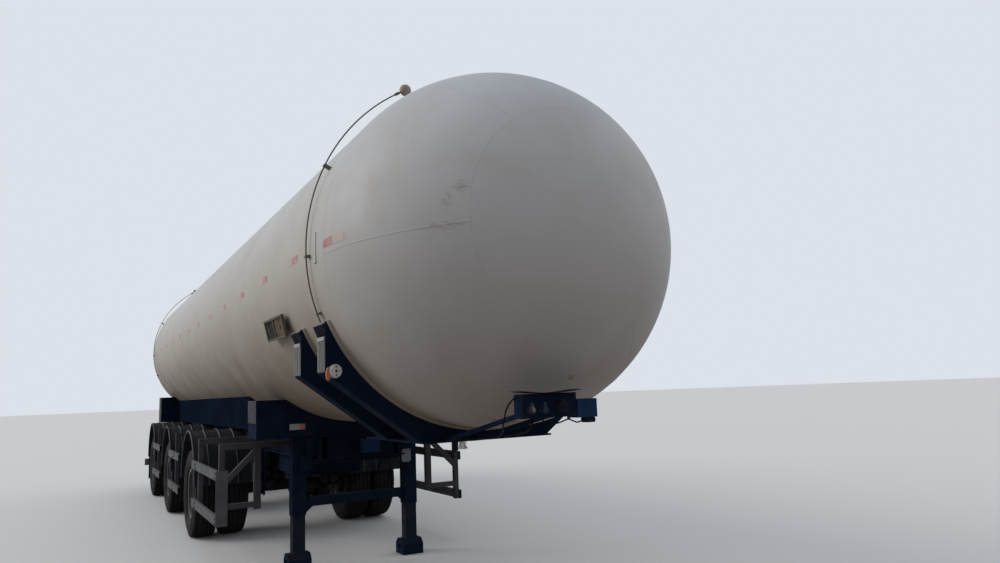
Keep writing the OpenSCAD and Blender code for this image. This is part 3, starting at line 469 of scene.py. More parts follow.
def tape_finish(name, colour, worn):
    """Faded sheeting with dust and worn flecks."""
    f = Finish(name, 0.38)
    fade = f.span(f.noise(9, 5, 0.6), 0.35, 0.7, 0.0, 0.6)
    tone = f.blend(fade, colour, worn)
    tone = f.blend(f.span(f.noise(60, 4, 0.6), 0.58, 0.68, 0.0, 0.6), tone, (0.26, 0.2, 0.15))
    f.bump(f.cells(260), 0.12, 0.0006)
    return f.finish(tone, f.span(f.noise(20), 0.3, 0.7, 0.3, 0.55))


tape_red = tape_finish("tape_red", (0.34, 0.095, 0.08), (0.38, 0.26, 0.22))
tape_white = tape_finish("tape_white", (0.4, 0.34, 0.29), (0.38, 0.24, 0.2))
red_parts = []
white_parts = []
for k in range(TAPES):
    start = SEAM_X - FIRST_TAPE_BACK - TAPE_PITCH * k
    red_parts.append(tape_patch(start + TAPE_LEN / 2, start + TAPE_LEN))
    white_parts.append(tape_patch(start, start + TAPE_LEN / 2 - 0.001))
red_parts.append(tape_patch(SEAM_X + 0.005, SEAM_X + 0.15, *HEAD_TAPE))
white_parts.append(tape_patch(SEAM_X + 0.151, SEAM_X + 0.3, *HEAD_TAPE))
make_piece("tape_red_strips", red_parts, tape_red)
make_piece("tape_white_strips", white_parts, tape_white)

# Front saddles: folded and welded steel plate, painted near-black blue and dusty from the
# road. Each upright end has a light strip with three pressed ribs and a paler plate on top.
SADDLE_X = (5.55, 4.96)
RIB_Y = 1.1367
RIB_T = 0.003
RIB_W = 0.019
RIB_Z = (1.779, 1.97)
RIB_BACK = (0.028, 0.071, 0.114)
TOP_PLATE_T = 0.005
TOP_PLATE_Z = (1.974, 1.999)
DARK_SOIL = (0.06, 0.044, 0.035)
CHIP_STEEL = (0.06, 0.034, 0.022)


def dusty_paint(name, colour, worn, soil_share, rough=0.5, soil=(0.13, 0.085, 0.058), gloss=0.5):
    """Road paint: slight fading, chips that show bare dark steel, soil on what faces up and low down."""
    f = Finish(name, rough, gloss=gloss)
    tone = f.blend(f.span(f.noise(3.2, 5, 0.6, warp=0.5), 0.35, 0.7), colour, worn)
    chips = f.span(f.noise(26, 6, 0.7), 0.67, 0.71, 0.0, 0.7)
    tone = f.blend(chips, tone, CHIP_STEEL)
    dust = f.span(f.noise(5.5, 6, 0.65), 0.3, 0.72, 0.15, 1.0)
    lie = f.span(f.facing("Z"), 0.2, 0.9, 0.22, 1.0)
    low = f.span(f.axis("Z"), 1.7, 0.3, 0.3, 1.0)
    share = f.calc("MULTIPLY", f.calc("MULTIPLY", dust, lie), f.calc("MULTIPLY", low, soil_share))
    tone = f.blend(share, tone, soil)
    f.bump(f.calc("ADD", f.noise(120, 3, 0.6), f.calc("MULTIPLY", chips, -0.6)), 0.2, 0.0015)
    return f.finish(tone, f.span(f.noise(7, 4, 0.6), 0.3, 0.7, rough - 0.08, rough + 0.2))


def block(low, high, round_off):
    """A block with its twelve edges cut off: each face's four corners, drawn in by round_off."""
    low, high = np.array([low, high], float)
    centre = (low + high) / 2
    half = (high - low) / 2
    hull = bmesh.new()
    for axis in range(3):
        for way in (-1, 1):
            for a, b in ((-1, -1), (1, -1), (1, 1), (-1, 1)):
                corner = np.zeros(3)
                corner[axis] = way * half[axis]
                corner[(axis + 1) % 3] = a * (half[(axis + 1) % 3] - round_off)
                corner[(axis + 2) % 3] = b * (half[(axis + 2) % 3] - round_off)
                hull.verts.new(centre + corner)
    bmesh.ops.convex_hull(hull, input=hull.verts)
    bmesh.ops.dissolve_limit(hull, angle_limit=0.01, verts=hull.verts, edges=hull.edges)
    hull.verts.index_update()
    result = [tuple(v.co) for v in hull.verts], [[v.index for v in f.verts] for f in hull.faces]
    hull.free()
    return result


def side_block(way, x0, x1, near, far, z0, z1, round_off):
    """A block on one side of the trailer, from near to far out from its middle."""
    y0, y1 = sorted((way * near, way * far))
    return block((x0, y0, z0), (x1, y1, z1), round_off)


frame_paint = dusty_paint("frame_paint", (0.005, 0.011, 0.026), (0.0085, 0.016, 0.035), 0.35, 0.8, DARK_SOIL,
                          0.03)
strip_paint = dusty_paint("strip_paint", (0.105, 0.118, 0.112), (0.14, 0.148, 0.138), 0.4, 0.5, gloss=0.3)
strip_pale = dusty_paint("strip_pale", (0.27, 0.29, 0.3), (0.2, 0.21, 0.21), 0.4, 0.5)
cover(frame_paint, "front_saddle", "second_saddle")
cover(strip_paint, "saddle_end_strips")
rib_parts = []
plate_parts = []
for x in SADDLE_X:
    for way in (-1, 1):
        for back in RIB_BACK:
            rib_x = x - back
            rib_parts.append(side_block(way, rib_x - RIB_W, rib_x, RIB_Y, RIB_Y + RIB_T, *RIB_Z, 0.001))
        plate_parts.append(side_block(way, x - 0.158, x - 0.002, RIB_Y, RIB_Y + TOP_PLATE_T, *TOP_PLATE_Z,
                                      0.0015))
make_piece("strip_ribs", rib_parts, strip_paint)
make_piece("strip_top_plates", plate_parts, strip_pale)

# Saddle blocks: louvred rubber blocks on the wear pads just under the saddles' tips, each
# moulded with five slanted ribs and held by a thin steel strap.
CAP_TURN = math.radians(25.19)
CAP_R = 1.242
CAP_RIBS = 5
CAP_RIB_PITCH = 0.0455
CAP_RIB_LEAN = 0.12


def on_cap(part, side):
    """A part drawn level beside the tank (x, outwards, upwards), turned down with the block on its side."""
    x, out, rise = np.array(part[0]).T
    turned_out = out * math.cos(CAP_TURN) + rise * math.sin(CAP_TURN)
    turned_up = -out * math.sin(CAP_TURN) + rise * math.cos(CAP_TURN)
    return np.stack([x, side * turned_out, AXIS_H + turned_up], -1), part[1]


rubber = dusty_paint("block_rubber", (0.006, 0.008, 0.013), (0.012, 0.015, 0.021), 0.3, 0.8,
                     DARK_SOIL, 0.12)
cover(rubber, "saddle_caps")
cap_parts = []
strap_parts = []
for x in SADDLE_X:
    for side in (-1, 1):
        for k in range(CAP_RIBS):
            front = x - 0.02 - CAP_RIB_PITCH * k
            rib, faces = block((front - 0.03, CAP_R - 0.003, -0.038), (front, CAP_R + 0.007, 0.038), 0.003)
            rib = np.array(rib)
            rib[:, 0] += CAP_RIB_LEAN * rib[:, 2]
            cap_parts.append(on_cap((rib, faces), side))
        strap = block((x - 0.246, CAP_R - 0.014, 0.0422), (x - 0.016, CAP_R + 0.002, 0.0452), 0.0008)
        strap_parts.append(on_cap(strap, side))
make_piece("saddle_cap_ribs", cap_parts, rubber)
make_piece("saddle_cap_straps", strap_parts, strip_pale)

# Coupler plate and kingpin: the plate is painted like the saddles that carry it, and the pin
# below it is bare forged steel with old grease on it.
cover(frame_paint, "coupler_plate")
steel = Finish("kingpin_steel", 0.35, 1.0)
steel.finish(steel.blend(steel.span(steel.noise(40, 5), 0.4, 0.7), (0.5, 0.48, 0.45), (0.12, 0.09, 0.06)),
             steel.span(steel.noise(60, 4), 0.3, 0.7, 0.25, 0.55))
cover(steel.material, "kingpin")

# Lamp pipes: painted steel pipes bent round the shell at both ends, with a ball lamp in a
# turned socket on each pipe's upper end, its lens bleached brown by the sun.
PIPES_X = (5.44, -5.51)
PIPE_LIFT = math.radians(-2)
PIPE_END = math.radians(59.85)
PIPE_WIDE_R = 1.37
PIPE_WIDE_BACK = 0.146
LENS_R = 0.042


def turned(profile, centre, axis, segments=32):
    """A profile of (distance, radius) pairs revolved round axis, with flat ends."""
    profile = np.asarray(profile, float)
    axis = np.asarray(axis, float) / np.linalg.norm(axis)
    aside = np.cross(axis, [0.0, 0.0, 1.0] if abs(axis[2]) < 0.9 else [1.0, 0.0, 0.0])
    aside /= np.linalg.norm(aside)
    across = np.cross(axis, aside)
    turn = circle(segments)
    spoke = np.cos(turn)[:, None] * aside + np.sin(turn)[:, None] * across
    points = (np.asarray(centre, float) + profile[:, 0, None, None] * axis
              + profile[:, 1, None, None] * spoke[None, :, :])
    return points.reshape(-1, 3), capped_faces(len(profile), segments)


cover(dusty_paint("pipe_paint", (0.085, 0.072, 0.062), (0.13, 0.112, 0.095), 0.4, 0.5, gloss=0.3),
      "lamp_pipes")
lens_brown = dusty_paint("lens_brown", (0.22, 0.165, 0.12), (0.3, 0.24, 0.19), 0.5, 0.4)
cover(lens_brown, "corner_lamps")
lens_turn = np.linspace(math.radians(-40), math.radians(86), 16)
lamp_profile = ([(0.0, 0.009), (0.003, 0.012), (0.009, 0.014), (0.011, 0.026), (0.015, 0.031)]
                + [(LENS_R + 0.0003 + LENS_R * math.sin(a), LENS_R * math.cos(a)) for a in lens_turn])
end_y = PIPE_WIDE_R * math.cos(PIPE_END) - PIPE_WIDE_BACK * math.cos(PIPE_LIFT)
end_z = PIPE_WIDE_R * math.sin(PIPE_END) - PIPE_WIDE_BACK * math.sin(PIPE_LIFT)
lamp_parts = []
for x in PIPES_X:
    for side in (-1, 1):
        lamp_parts.append(turned(lamp_profile, (x, side * end_y, AXIS_H + end_z),
                                 (0, -side * math.sin(PIPE_END), math.cos(PIPE_END)), 40))
lamps = make_piece("ball_lamps", lamp_parts, lens_brown, smooth=True)
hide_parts("corner_lamps")

# Angle brackets: a thin upright angle of plate welded to the shell beside each front lamp
# pipe, with a short foot turned forward at its lower end, painted white.
BRACKET_X = 5.578
BRACKET_LOW = 2.464
bracket_paint = dusty_paint("bracket_paint", (0.66, 0.66, 0.65), (0.58, 0.57, 0.55), 0.2, 0.5, gloss=0.3)
bracket_parts = []
for way in (-1, 1):
    bracket_parts.append(side_block(way, BRACKET_X, 5.59, 1.19, 1.208, BRACKET_LOW, 2.662, 0.0015))
    bracket_parts.append(side_block(way, 5.545, BRACKET_X, 1.19, 1.206, BRACKET_LOW, 2.474, 0.0015))
make_piece("angle_brackets", bracket_parts, bracket_paint)

# Front marker lamps: a white round body with a ringed lamp in its middle and small round
# windows round it, screwed to the first saddle, and a tall amber side marker on the same
# face, at the saddle's outer edge.
MARKER_Y = 1.0687
MARKER_Z = 1.779
WINDOW_X = 0.0245
SIDE_MARKER_Y = 1.114
SIDE_MARKER_Z = 1.762


def oval_lens(centre, half_w, half_h, depth, segments=40):
    """A domed oval on the Y-Z plane: rings shrink as the cosine of a quarter turn while they rise along X."""
    turn = circle(segments)
    rise = np.radians([0, 0, 25, 50, 70, 84])
    base = np.array([0.0, 0.35, 0.35, 0.35, 0.35, 0.35]) * depth
    x = base[:, None] + 0.65 * depth * np.sin(rise)[:, None] + 0 * turn
    shrink = 1 - 0.3 * (1 - np.cos(rise))
    shrink[-1] = 0.55
    y = half_w * shrink[:, None] * np.cos(turn)
    z = half_h * shrink[:, None] * np.sin(turn)
    points = np.asarray(centre, float) + np.stack([x, y, z], -1)
    return points.reshape(-1, 3), capped_faces(len(rise), segments)


lens_white = dusty_paint("lens_white", (0.52, 0.52, 0.53), (0.44, 0.43, 0.42), 0.4, 0.3)
window_dark = dusty_paint("window_dark", (0.012, 0.012, 0.015), (0.03, 0.03, 0.03), 0.2, 0.3)
amber = dusty_paint("side_marker_amber", (0.36, 0.115, 0.045), (0.3, 0.14, 0.08), 0.3, 0.35)
cover(lens_white, "front_markers")
marker_parts = []
window_parts = []
side_parts = []
for side in (-1, 1):
    centre = (SADDLE_X[0], side * MARKER_Y, MARKER_Z)
    marker_parts.append(turned([(0.0, 0.0445), (0.008, 0.0445), (0.011, 0.042), (0.018, 0.041),
                                (0.024, 0.037), (0.0255, 0.032)], centre, (1, 0, 0), 48))
    marker_parts.append(turned([(0.024, 0.0125), (0.029, 0.0125), (0.03, 0.0115), (0.0285, 0.009)],
                               centre, (1, 0, 0), 28))
    window_parts.append(turned([(0.0255, 0.0085), (0.0295, 0.0085), (0.031, 0.005)], centre, (1, 0, 0), 20))
    for dy, dz, r in ((0, 0.0255, 0.0062), (0, -0.0255, 0.0062), (0.0255, 0, 0.0035), (-0.0255, 0, 0.0035)):
        spot = (centre[0] + WINDOW_X, centre[1] + dy, centre[2] + dz)
        window_parts.append(turned([(0.0, r), (0.001, r * 0.96), (0.0018, r * 0.7)], spot, (1, 0, 0), 16))
    centre = (SADDLE_X[0] + 0.0002, side * SIDE_MARKER_Y, SIDE_MARKER_Z)
    side_parts.append(oval_lens(centre, 0.0165, 0.044, 0.017))
markers = make_piece("front_marker_lamps", marker_parts, lens_white)
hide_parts("front_markers")
make_piece("marker_windows", window_parts, window_dark)
make_piece("side_markers", side_parts, amber)

# Placards: a sheet steel plate of two fields in each frame on the shell, the rear field dark
# and scuffed, the front field cream, both a little dented.
PLACARD_LOW = np.array([1.165, 2.07])
PLACARD_HIGH = np.array([1.205, 2.234])
FIELDS = (
    ("dark", 4.098, 4.352, dusty_paint("placard_dark", (0.026, 0.027, 0.031), (0.06, 0.06, 0.064),
                                       0.2, 0.9, gloss=0.02)),
    ("cream", 4.38, 4.632, dusty_paint("placard_cream", (0.165, 0.13, 0.095), (0.085, 0.058, 0.04),
                                        0.3, 0.8, gloss=0.05)),
)
cover(dusty_paint("placard_paint", (0.15, 0.14, 0.115), (0.095, 0.085, 0.068), 0.5, 0.7, gloss=0.1),
      "placard_frames")
slope = (PLACARD_HIGH - PLACARD_LOW) / np.linalg.norm(PLACARD_HIGH - PLACARD_LOW)
for name, x0, x1, paint in FIELDS:
    u, v = np.meshgrid(np.linspace(x0, x1, 12), np.linspace(0.018, 0.15, 8), indexing="ij")
    dents = 0.0012 * np.sin(9 * u / 0.25) * np.sin(5 * v / 0.15)
    parts = []
    for side in (-1, 1):
        layers = []
        for depth in (-0.0125, -0.0095):
            y = PLACARD_LOW[0] + slope[0] * v + slope[1] * (depth + dents)
            z = PLACARD_LOW[1] + slope[1] * v - slope[0] * (depth + dents)
            layers.append(np.stack([u, side * y, z], -1))
        parts.append(slab(layers))
    make_piece(f"placard_{name}_fields", parts, paint)

# Coupling panel: a steel panel with a rubber hood, air couplings and a round socket on its
# face. One hose runs from its right end to the coupler plate, one runs back from below it,
# and a slack cable hangs in two shallow bows from a clip under it.
PANEL_X = 6.7
COUPLINGS_Y = (-0.345, -0.262)
COUPLING_Z = 1.508
SOCKET = (PANEL_X, -0.15, 1.515)
HOSE_POINTS = 36


def bolt(centre, axis, across, head):
    """A hexagon head on its washer: the washer is a thin ring, the head tapers a little on top."""
    washer = turned([(0, across / 2), (0, across), (0.003, across), (0.0035, across * 0.9)], centre, axis, 20)
    flat = across / 2 / math.cos(math.pi / 6)
    top = turned([(0.003, flat), (head, flat), (head + 0.002, flat * 0.82)], centre, axis, 6)
    return [washer, top]


def smooth_route(stops):
    """Points at even steps on a Catmull-Rom curve through the stops."""
    stops = np.asarray(stops, float)
    padded = np.concatenate([[2 * stops[0] - stops[1]], stops, [2 * stops[-1] - stops[-2]]])
    t = np.linspace(0, 1, 40, endpoint=False)[:, None]
    legs = []
    for a, b, c, d in zip(padded, padded[1:], padded[2:], padded[3:]):
        legs.append(0.5 * (2 * b + (c - a) * t + (2 * a - 5 * b + 4 * c - d) * t ** 2
                           + (3 * b - a - 3 * c + d) * t ** 3))
    fine = np.concatenate(legs + [stops[-1:]])
    travelled = np.concatenate([[0], np.cumsum(np.linalg.norm(np.diff(fine, axis=0), axis=1))])
    even = np.linspace(0, travelled[-1], HOSE_POINTS)
    return np.stack([np.interp(even, travelled, fine[:, k]) for k in range(3)], 1)


def hose(name, stops, diameter):
    """A hose along a smooth route; both ends go into the trailer."""
    route = smooth_route(stops)
    curve = bpy.data.curves.new(name, "CURVE")
    curve.dimensions = "3D"
    curve.bevel_depth = diameter / 2
    curve.bevel_resolution = 5
    curve.use_fill_caps = True
    line = curve.splines.new("POLY")
    line.points.add(HOSE_POINTS - 1)
    line.points.foreach_set("co", np.concatenate([route, np.ones((HOSE_POINTS, 1))], 1).ravel())
    line.use_smooth = True
    curve.materials.append(hose_rubber)
    piece = bpy.data.objects.new(name, curve)
    scene.collection.objects.link(piece)
    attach(piece, "root")


panel_blue = dusty_paint("panel_box_paint", (0.0045, 0.021, 0.064), (0.008, 0.03, 0.082), 0.2, 0.6,
                         DARK_SOIL, 0.08)
hose_rubber = dusty_paint("hose_rubber", (0.0035, 0.0045, 0.0065), (0.0075, 0.0085, 0.0105), 0.1, 0.7,
                          DARK_SOIL, 0.05)
coupling = Finish("coupling_paint", 0.55, gloss=0.2)
tan = coupling.calc("MULTIPLY", coupling.near((PANEL_X + 0.03, -0.335, 1.515), (0.05, 0.024, 0.032)),
                    coupling.span(coupling.noise(45, 4), 0.35, 0.6))
coupling.finish(coupling.blend(tan, (0.01, 0.017, 0.032), (0.21, 0.15, 0.105)))
cover(frame_paint, "coupling_panel")
cover(rubber, "panel_hood")
cover(panel_blue, "panel_box")
panel_parts = []
for y in COUPLINGS_Y:
    panel_parts.append(turned([(0.0, 0.022), (0.005, 0.022), (0.007, 0.014), (0.02, 0.014), (0.024, 0.018),
                               (0.034, 0.019), (0.037, 0.017), (0.038, 0.008)],
                              (PANEL_X, y, COUPLING_Z), (1, 0, -0.15), 24))
    panel_parts.append(block((PANEL_X + 0.018, y - 0.008, COUPLING_Z + 0.008),
                             (PANEL_X + 0.034, y + 0.008, COUPLING_Z + 0.037), 0.003))
make_piece("air_couplings", panel_parts, coupling.material)
socket_parts = [
    turned([(0.0, 0.036), (0.005, 0.036), (0.007, 0.029), (0.03, 0.029), (0.034, 0.032), (0.04, 0.032),
            (0.043, 0.028)], SOCKET, (1, 0, 0)),
    block((PANEL_X + 0.014, -0.162, 1.544), (PANEL_X + 0.04, -0.138, 1.556), 0.003),
    block((6.64, 0.028, 1.42), (6.702, 0.094, 1.4497), 0.006),
    block((6.684, -0.094, 1.444), (6.7, -0.08, 1.46), 0.002),
]
for y, z in ((-0.376, 1.475), (-0.376, 1.577), (-0.05, 1.475), (-0.05, 1.577), (-0.21, 1.475)):
    socket_parts += bolt((PANEL_X, y, z), (1, 0, 0), 0.014, 0.007)
make_piece("trailer_socket", socket_parts, rubber)
hose("loop_hose", [
    (6.655, -0.3905, 1.577), (6.66, -0.433, 1.561), (6.658, -0.466, 1.516), (6.648, -0.475, 1.468),
    (6.61, -0.463, 1.428), (6.53, -0.42, 1.396), (6.38, -0.345, 1.367), (6.2, -0.27, 1.345),
    (6.000, -0.215, 1.325), (5.8, -0.19, 1.306), (5.66, -0.18, 1.2955), (5.6005, -0.18, 1.294),
], 0.009)
hose("back_hose", [
    (6.65, -0.3, 1.4595), (6.645, -0.3, 1.43), (6.6, -0.29, 1.395), (6.48, -0.27, 1.37),
    (6.25, -0.255, 1.345), (5.98, -0.25, 1.326), (5.76, -0.25, 1.313), (5.64, -0.25, 1.3095),
    (5.5505, -0.25, 1.3092),
], 0.012)
hose("bow_cable", [
    (6.69, 0.014, 1.4495), (6.692, 0.008, 1.436), (6.694, -0.03, 1.4255), (6.694, -0.062, 1.435),
    (6.692, -0.087, 1.445), (6.692, -0.112, 1.44), (6.69, -0.15, 1.429), (6.688, -0.19, 1.424),
    (6.687, -0.225, 1.429), (6.686, -0.25, 1.443), (6.685, -0.255, 1.4595),
], 0.008)

# Sub-frame: rails, cradles under the shell and the cabinet in the saddles' paint, and side
# sills, cross members and hangers in a duller coat of the same blue. The landing cradle has a
# small reflective patch, half white and half red, on its front.
PATCH_X = 2.8302
PATCH_T = 0.0013
sill_paint = dusty_paint("sill_paint", (0.0045, 0.0095, 0.021), (0.007, 0.013, 0.027), 0.3, 0.9,
                         DARK_SOIL, 0.0)
cover(frame_paint, "landing_cradle", "rear_cradle", "cradles", "frame_rails", "valve_cabinet")
cover(sill_paint, "side_sills", "cross_members", "hangers")
cover(dusty_paint("cradle_strip_paint", (0.032, 0.038, 0.046), (0.052, 0.058, 0.066), 0.4, 0.7, gloss=0.1),
      "cradle_end_strips")
cover(panel_blue, "valve_box")
patch_white = tape_finish("patch_white", (0.33, 0.36, 0.37), (0.26, 0.27, 0.27))
for key, y0, y1, slot, tape in (("white", -0.69, -0.59, "lamp_white", patch_white),
                                ("red", -0.589, -0.54, "lamp_red", tape_red)):
    patch = block((PATCH_X, y0, 1.318), (PATCH_X + PATCH_T, y1, 1.375), 0.0005)
    make_piece(f"cradle_patch_{key}", [patch], tape)

# Landing legs: a steel tube that slides in a fixed one, on a foot block. Bolts hold the legs'
# brackets, screws the gear housings and pins the feet; the left housing has a pale cover, and
# an air hose hangs in a bow behind that leg.
LEG_X = 2.69
LEG_Y = 0.577
FOOT_HALF_W = 0.1075
slide_paint = dusty_paint("slide_paint", (0.007, 0.0115, 0.023), (0.012, 0.017, 0.029), 0.2, 0.6,
                          DARK_SOIL, 0.08)
cover_paint = dusty_paint("cover_paint", (0.17, 0.19, 0.235), (0.13, 0.145, 0.17), 0.4, 0.5, gloss=0.3)
cover(frame_paint, "leg_tubes", "leg_gears", "leg_tie", "foot_right", "foot_left")
cover(slide_paint, "leg_slide_right", "leg_slide_left")
leg_parts = []
for side, way in (("right", -1), ("left", 1)):
    for y, z in ((0.472, 0.932), (0.472, 1.048), (0.556, 0.932), (0.556, 1.048)):
        leg_parts += bolt((LEG_X + 0.111, way * y, z), (1, 0, 0), 0.013, 0.007)
    for x in (LEG_X - 0.087, LEG_X + 0.087):
        for z in (1.095, 1.15, 1.205):
            leg_parts += bolt((x, way * 0.511, z), (0, way, 0), 0.02, 0.011)
    pin_parts = [turned([(0, 0.024), (0.004, 0.024), (0.005, 0.016), (0.02, 0.016), (0.023, 0.013)],
                        (LEG_X, way * LEG_Y + out_way * FOOT_HALF_W, 0.085), (0, out_way, 0), 24)
                 for out_way in (-1, 1)]
    make_piece(f"foot_pins_{side}", pin_parts, frame_paint, f"leg_{side}")
make_piece("leg_fixings", leg_parts, frame_paint)
gear_cover = block((LEG_X + 0.1112, 0.463, 0.925), (LEG_X + 0.116, 0.565, 1.058), 0.0015)
make_piece("gear_cover", [gear_cover], cover_paint)
hose("leg_air_hose", [
    (2.56, 0.352, 1.0095), (2.56, 0.342, 0.96), (2.555, 0.296, 0.86), (2.55, 0.262, 0.76),
    (2.55, 0.285, 0.69), (2.55, 0.34, 0.668), (2.55, 0.4, 0.7), (2.55, 0.425, 0.78),
    (2.553, 0.42, 0.88), (2.556, 0.412, 0.96), (2.56, 0.41, 1.0095),
], 0.016)

# Side guards: rectangular tube rails on posts, each joint held by two bolts, with moulded
# caps in the rails' open ends and a black marker block on the left front post.
GUARD_Y = 1.3
GUARD_FRONT_X = 2.47
GUARD_SECTIONS = ((0.746, GUARD_FRONT_X), (-1.754, -0.546), (-4.254, -3.046))
RAILS_Z = (0.45, 0.87)
POSTS_X = (2.445, 1.076, -1.15, -3.65)
guard_paint = dusty_paint("guard_paint", (0.085, 0.09, 0.104), (0.115, 0.12, 0.13), 0.6, 0.7, gloss=0.12)
cover(guard_paint, "side_guard_right", "side_guard_left")
cover(dusty_paint("post_paint", (0.045, 0.048, 0.056), (0.068, 0.07, 0.078), 0.6, 0.7, gloss=0.1),
      "guard_frames")
guard_parts = []
end_caps = [block((GUARD_FRONT_X + 0.0005, 1.228, 0.975), (2.5, 1.268, 1.135), 0.005)]
for way in (-1, 1):
    for x in POSTS_X:
        for rail_z in RAILS_Z:
            for z in (rail_z + 0.023, rail_z + 0.067):
                guard_parts += bolt((x, way * GUARD_Y, z), (0, way, 0), 0.019, 0.01)[1:]
    for rail_x in GUARD_SECTIONS:
        for z in RAILS_Z:
            for x, out_way in zip(rail_x, (-1, 1)):
                if way < 0 and x == GUARD_FRONT_X:
                    continue
                x0, x1 = sorted((x - out_way * 0.006, x + out_way * 0.0035))
                end_caps.append(side_block(way, x0, x1, GUARD_Y - 0.0315, GUARD_Y + 0.0015,
                                           z - 0.0015, z + 0.0915, 0.003))
make_piece("guard_bolts", guard_parts, guard_paint)
make_piece("guard_end_caps", end_caps, rubber)

# Axles: forged tubes and arms, painted black. Two U-bolts over each end of an axle are
# clamped under the trailing arm with a plate and nuts, and a pivot bolt goes through each
# hanger.
AXLES_X = (0.1, -2.4, -4.9)
ARM_Y = 0.4
U_BOLT_BACK = 0.078
PIVOT_AHEAD = 0.52
PIVOT_H = 0.6
U_BOLT = [(0, 0.011), (0.27, 0.011), (0.275, 0.009)]
U_BOLT_NUT = [(0, 0.018), (0.018, 0.018)]
PIVOT_NUT = [(0, 0.03), (0.004, 0.03), (0.005, 0.022), (0.02, 0.022)]
axle_paint = dusty_paint("axle_paint", (0.007, 0.008, 0.011), (0.015, 0.0155, 0.018), 0.6, 0.7,
                         DARK_SOIL, 0.15)
cover(axle_paint, "axles", "trailing_arms", "brake_chambers", "air_reservoir")
axle_parts = []
for axle_x in AXLES_X:
    for y in (-ARM_Y, ARM_Y):
        for x in (axle_x - U_BOLT_BACK, axle_x + U_BOLT_BACK):
            for bolt_y in (y - 0.035, y + 0.035):
                axle_parts.append(turned(U_BOLT, (x, bolt_y, 0.418), (0, 0, 1), 14))
                axle_parts.append(turned(U_BOLT_NUT, (x, bolt_y, 0.43), (0, 0, 1), 6))
            axle_parts.append(block((x - 0.014, y - 0.05, 0.672), (x + 0.014, y + 0.05, 0.69), 0.005))
        axle_parts.append(block((axle_x - 0.1, y - 0.052, 0.444), (axle_x + 0.1, y + 0.052, 0.458), 0.004))
        for way in (-1, 1):
            at = (axle_x + PIVOT_AHEAD, y + way * 0.0565, PIVOT_H)
            axle_parts.append(turned(PIVOT_NUT, at, (0, way, 0), 6))
make_piece("axle_clamps", axle_parts, axle_paint)

# Air springs: rubber bellows on the trailing arms' rear ends. Each folds over its piston in
# two rounded rolls between crimped rings.
SPRING_BACK = 0.32
SPRING_LOW_H = 0.6955
BELLOWS = [(0.0, 0.085), (0.02, 0.088), (0.048, 0.09), (0.05, 0.122), (0.06, 0.132), (0.075, 0.137),
           (0.095, 0.1395), (0.115, 0.1385), (0.13, 0.134), (0.142, 0.131), (0.155, 0.1345), (0.175, 0.139),
           (0.2, 0.1395), (0.225, 0.137), (0.245, 0.13), (0.262, 0.118), (0.272, 0.113), (0.29, 0.112),
           (0.3135, 0.11)]
cover(rubber, "air_springs")
spring_parts = [turned(BELLOWS, (axle_x - SPRING_BACK, way * ARM_Y, SPRING_LOW_H), (0, 0, 1), 48)
                for axle_x in AXLES_X for way in (-1, 1)]
springs = make_piece("air_bellows", spring_parts, rubber, smooth=True)
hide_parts("air_springs")

# Tyres: radial truck tyres on twin rims. Each is a closed ring: bead, sidewall with a rim
# protector and two fine ribs, square shoulder, and a tread of five ribs between zigzag
# grooves, with cuts across the shoulder ribs. Soil lies in the grooves and on the walls.
TYRE_R = 0.522
WHEEL_MID = 0.935
DUAL_PITCH = 0.335
TYRE_STEPS = 360
STEPS_A_PITCH = 6
# The section's half from the bead to the shoulder: distance from its middle, and radius.
WALL = [(0.1055, 0.2866), (0.1057, 0.299), (0.115, 0.312), (0.129, 0.322), (0.1325, 0.329),
        (0.131, 0.335), (0.137, 0.352), (0.1425, 0.37), (0.1436, 0.3715), (0.1436, 0.375),
        (0.1432, 0.3765), (0.1462, 0.4), (0.1472, 0.418), (0.1462, 0.433), (0.1466, 0.4345),
        (0.1464, 0.438), (0.145, 0.4395), (0.142, 0.455), (0.137, 0.472), (0.132, 0.486),
        (0.129, 0.496), (0.1275, 0.504), (0.123, 0.5105), (0.115, 0.515)]
tread = []
for groove in (0.078, 0.027):
    for y, depth in ((groove + 0.0065, 0.0), (groove + 0.0045, 0.012), (groove - 0.0045, 0.012),
                     (groove - 0.0065, 0.0)):
        tread.append((y, TYRE_R - 0.0012 - 0.35 * y * y - depth))
half = np.array(WALL + tread)
section = np.concatenate([half, half[::-1] * [-1, 1], [[-0.06, 0.2864], [0.06, 0.2864]]])


def tyre(axle_x, middle_y):
    """The section turned about the axle; grooves zigzag and the shoulders are cut across, once a pitch."""
    step = np.arange(TYRE_STEPS)
    turn = step * 2 * np.pi / TYRE_STEPS
    phase = (step % STEPS_A_PITCH) / STEPS_A_PITCH
    zigzag = np.abs(phase - 0.5) * 4 - 1
    grooved = (np.abs(section[:, 0]) < 0.09) & (section[:, 1] > 0.5)
    shoulder = (np.abs(section[:, 0]) > 0.083) & (section[:, 1] > 0.503)
    y = section[:, 0, None] + grooved[:, None] * 0.0025 * zigzag
    r = section[:, 1, None] - shoulder[:, None] * 0.007 * (phase < 0.3)
    points = np.stack([axle_x + r * np.cos(turn), middle_y + y, TYRE_R + r * np.sin(turn)], -1)
    return points.reshape(-1, 3), grid_faces(len(section), TYRE_STEPS, wrap_rows=True)


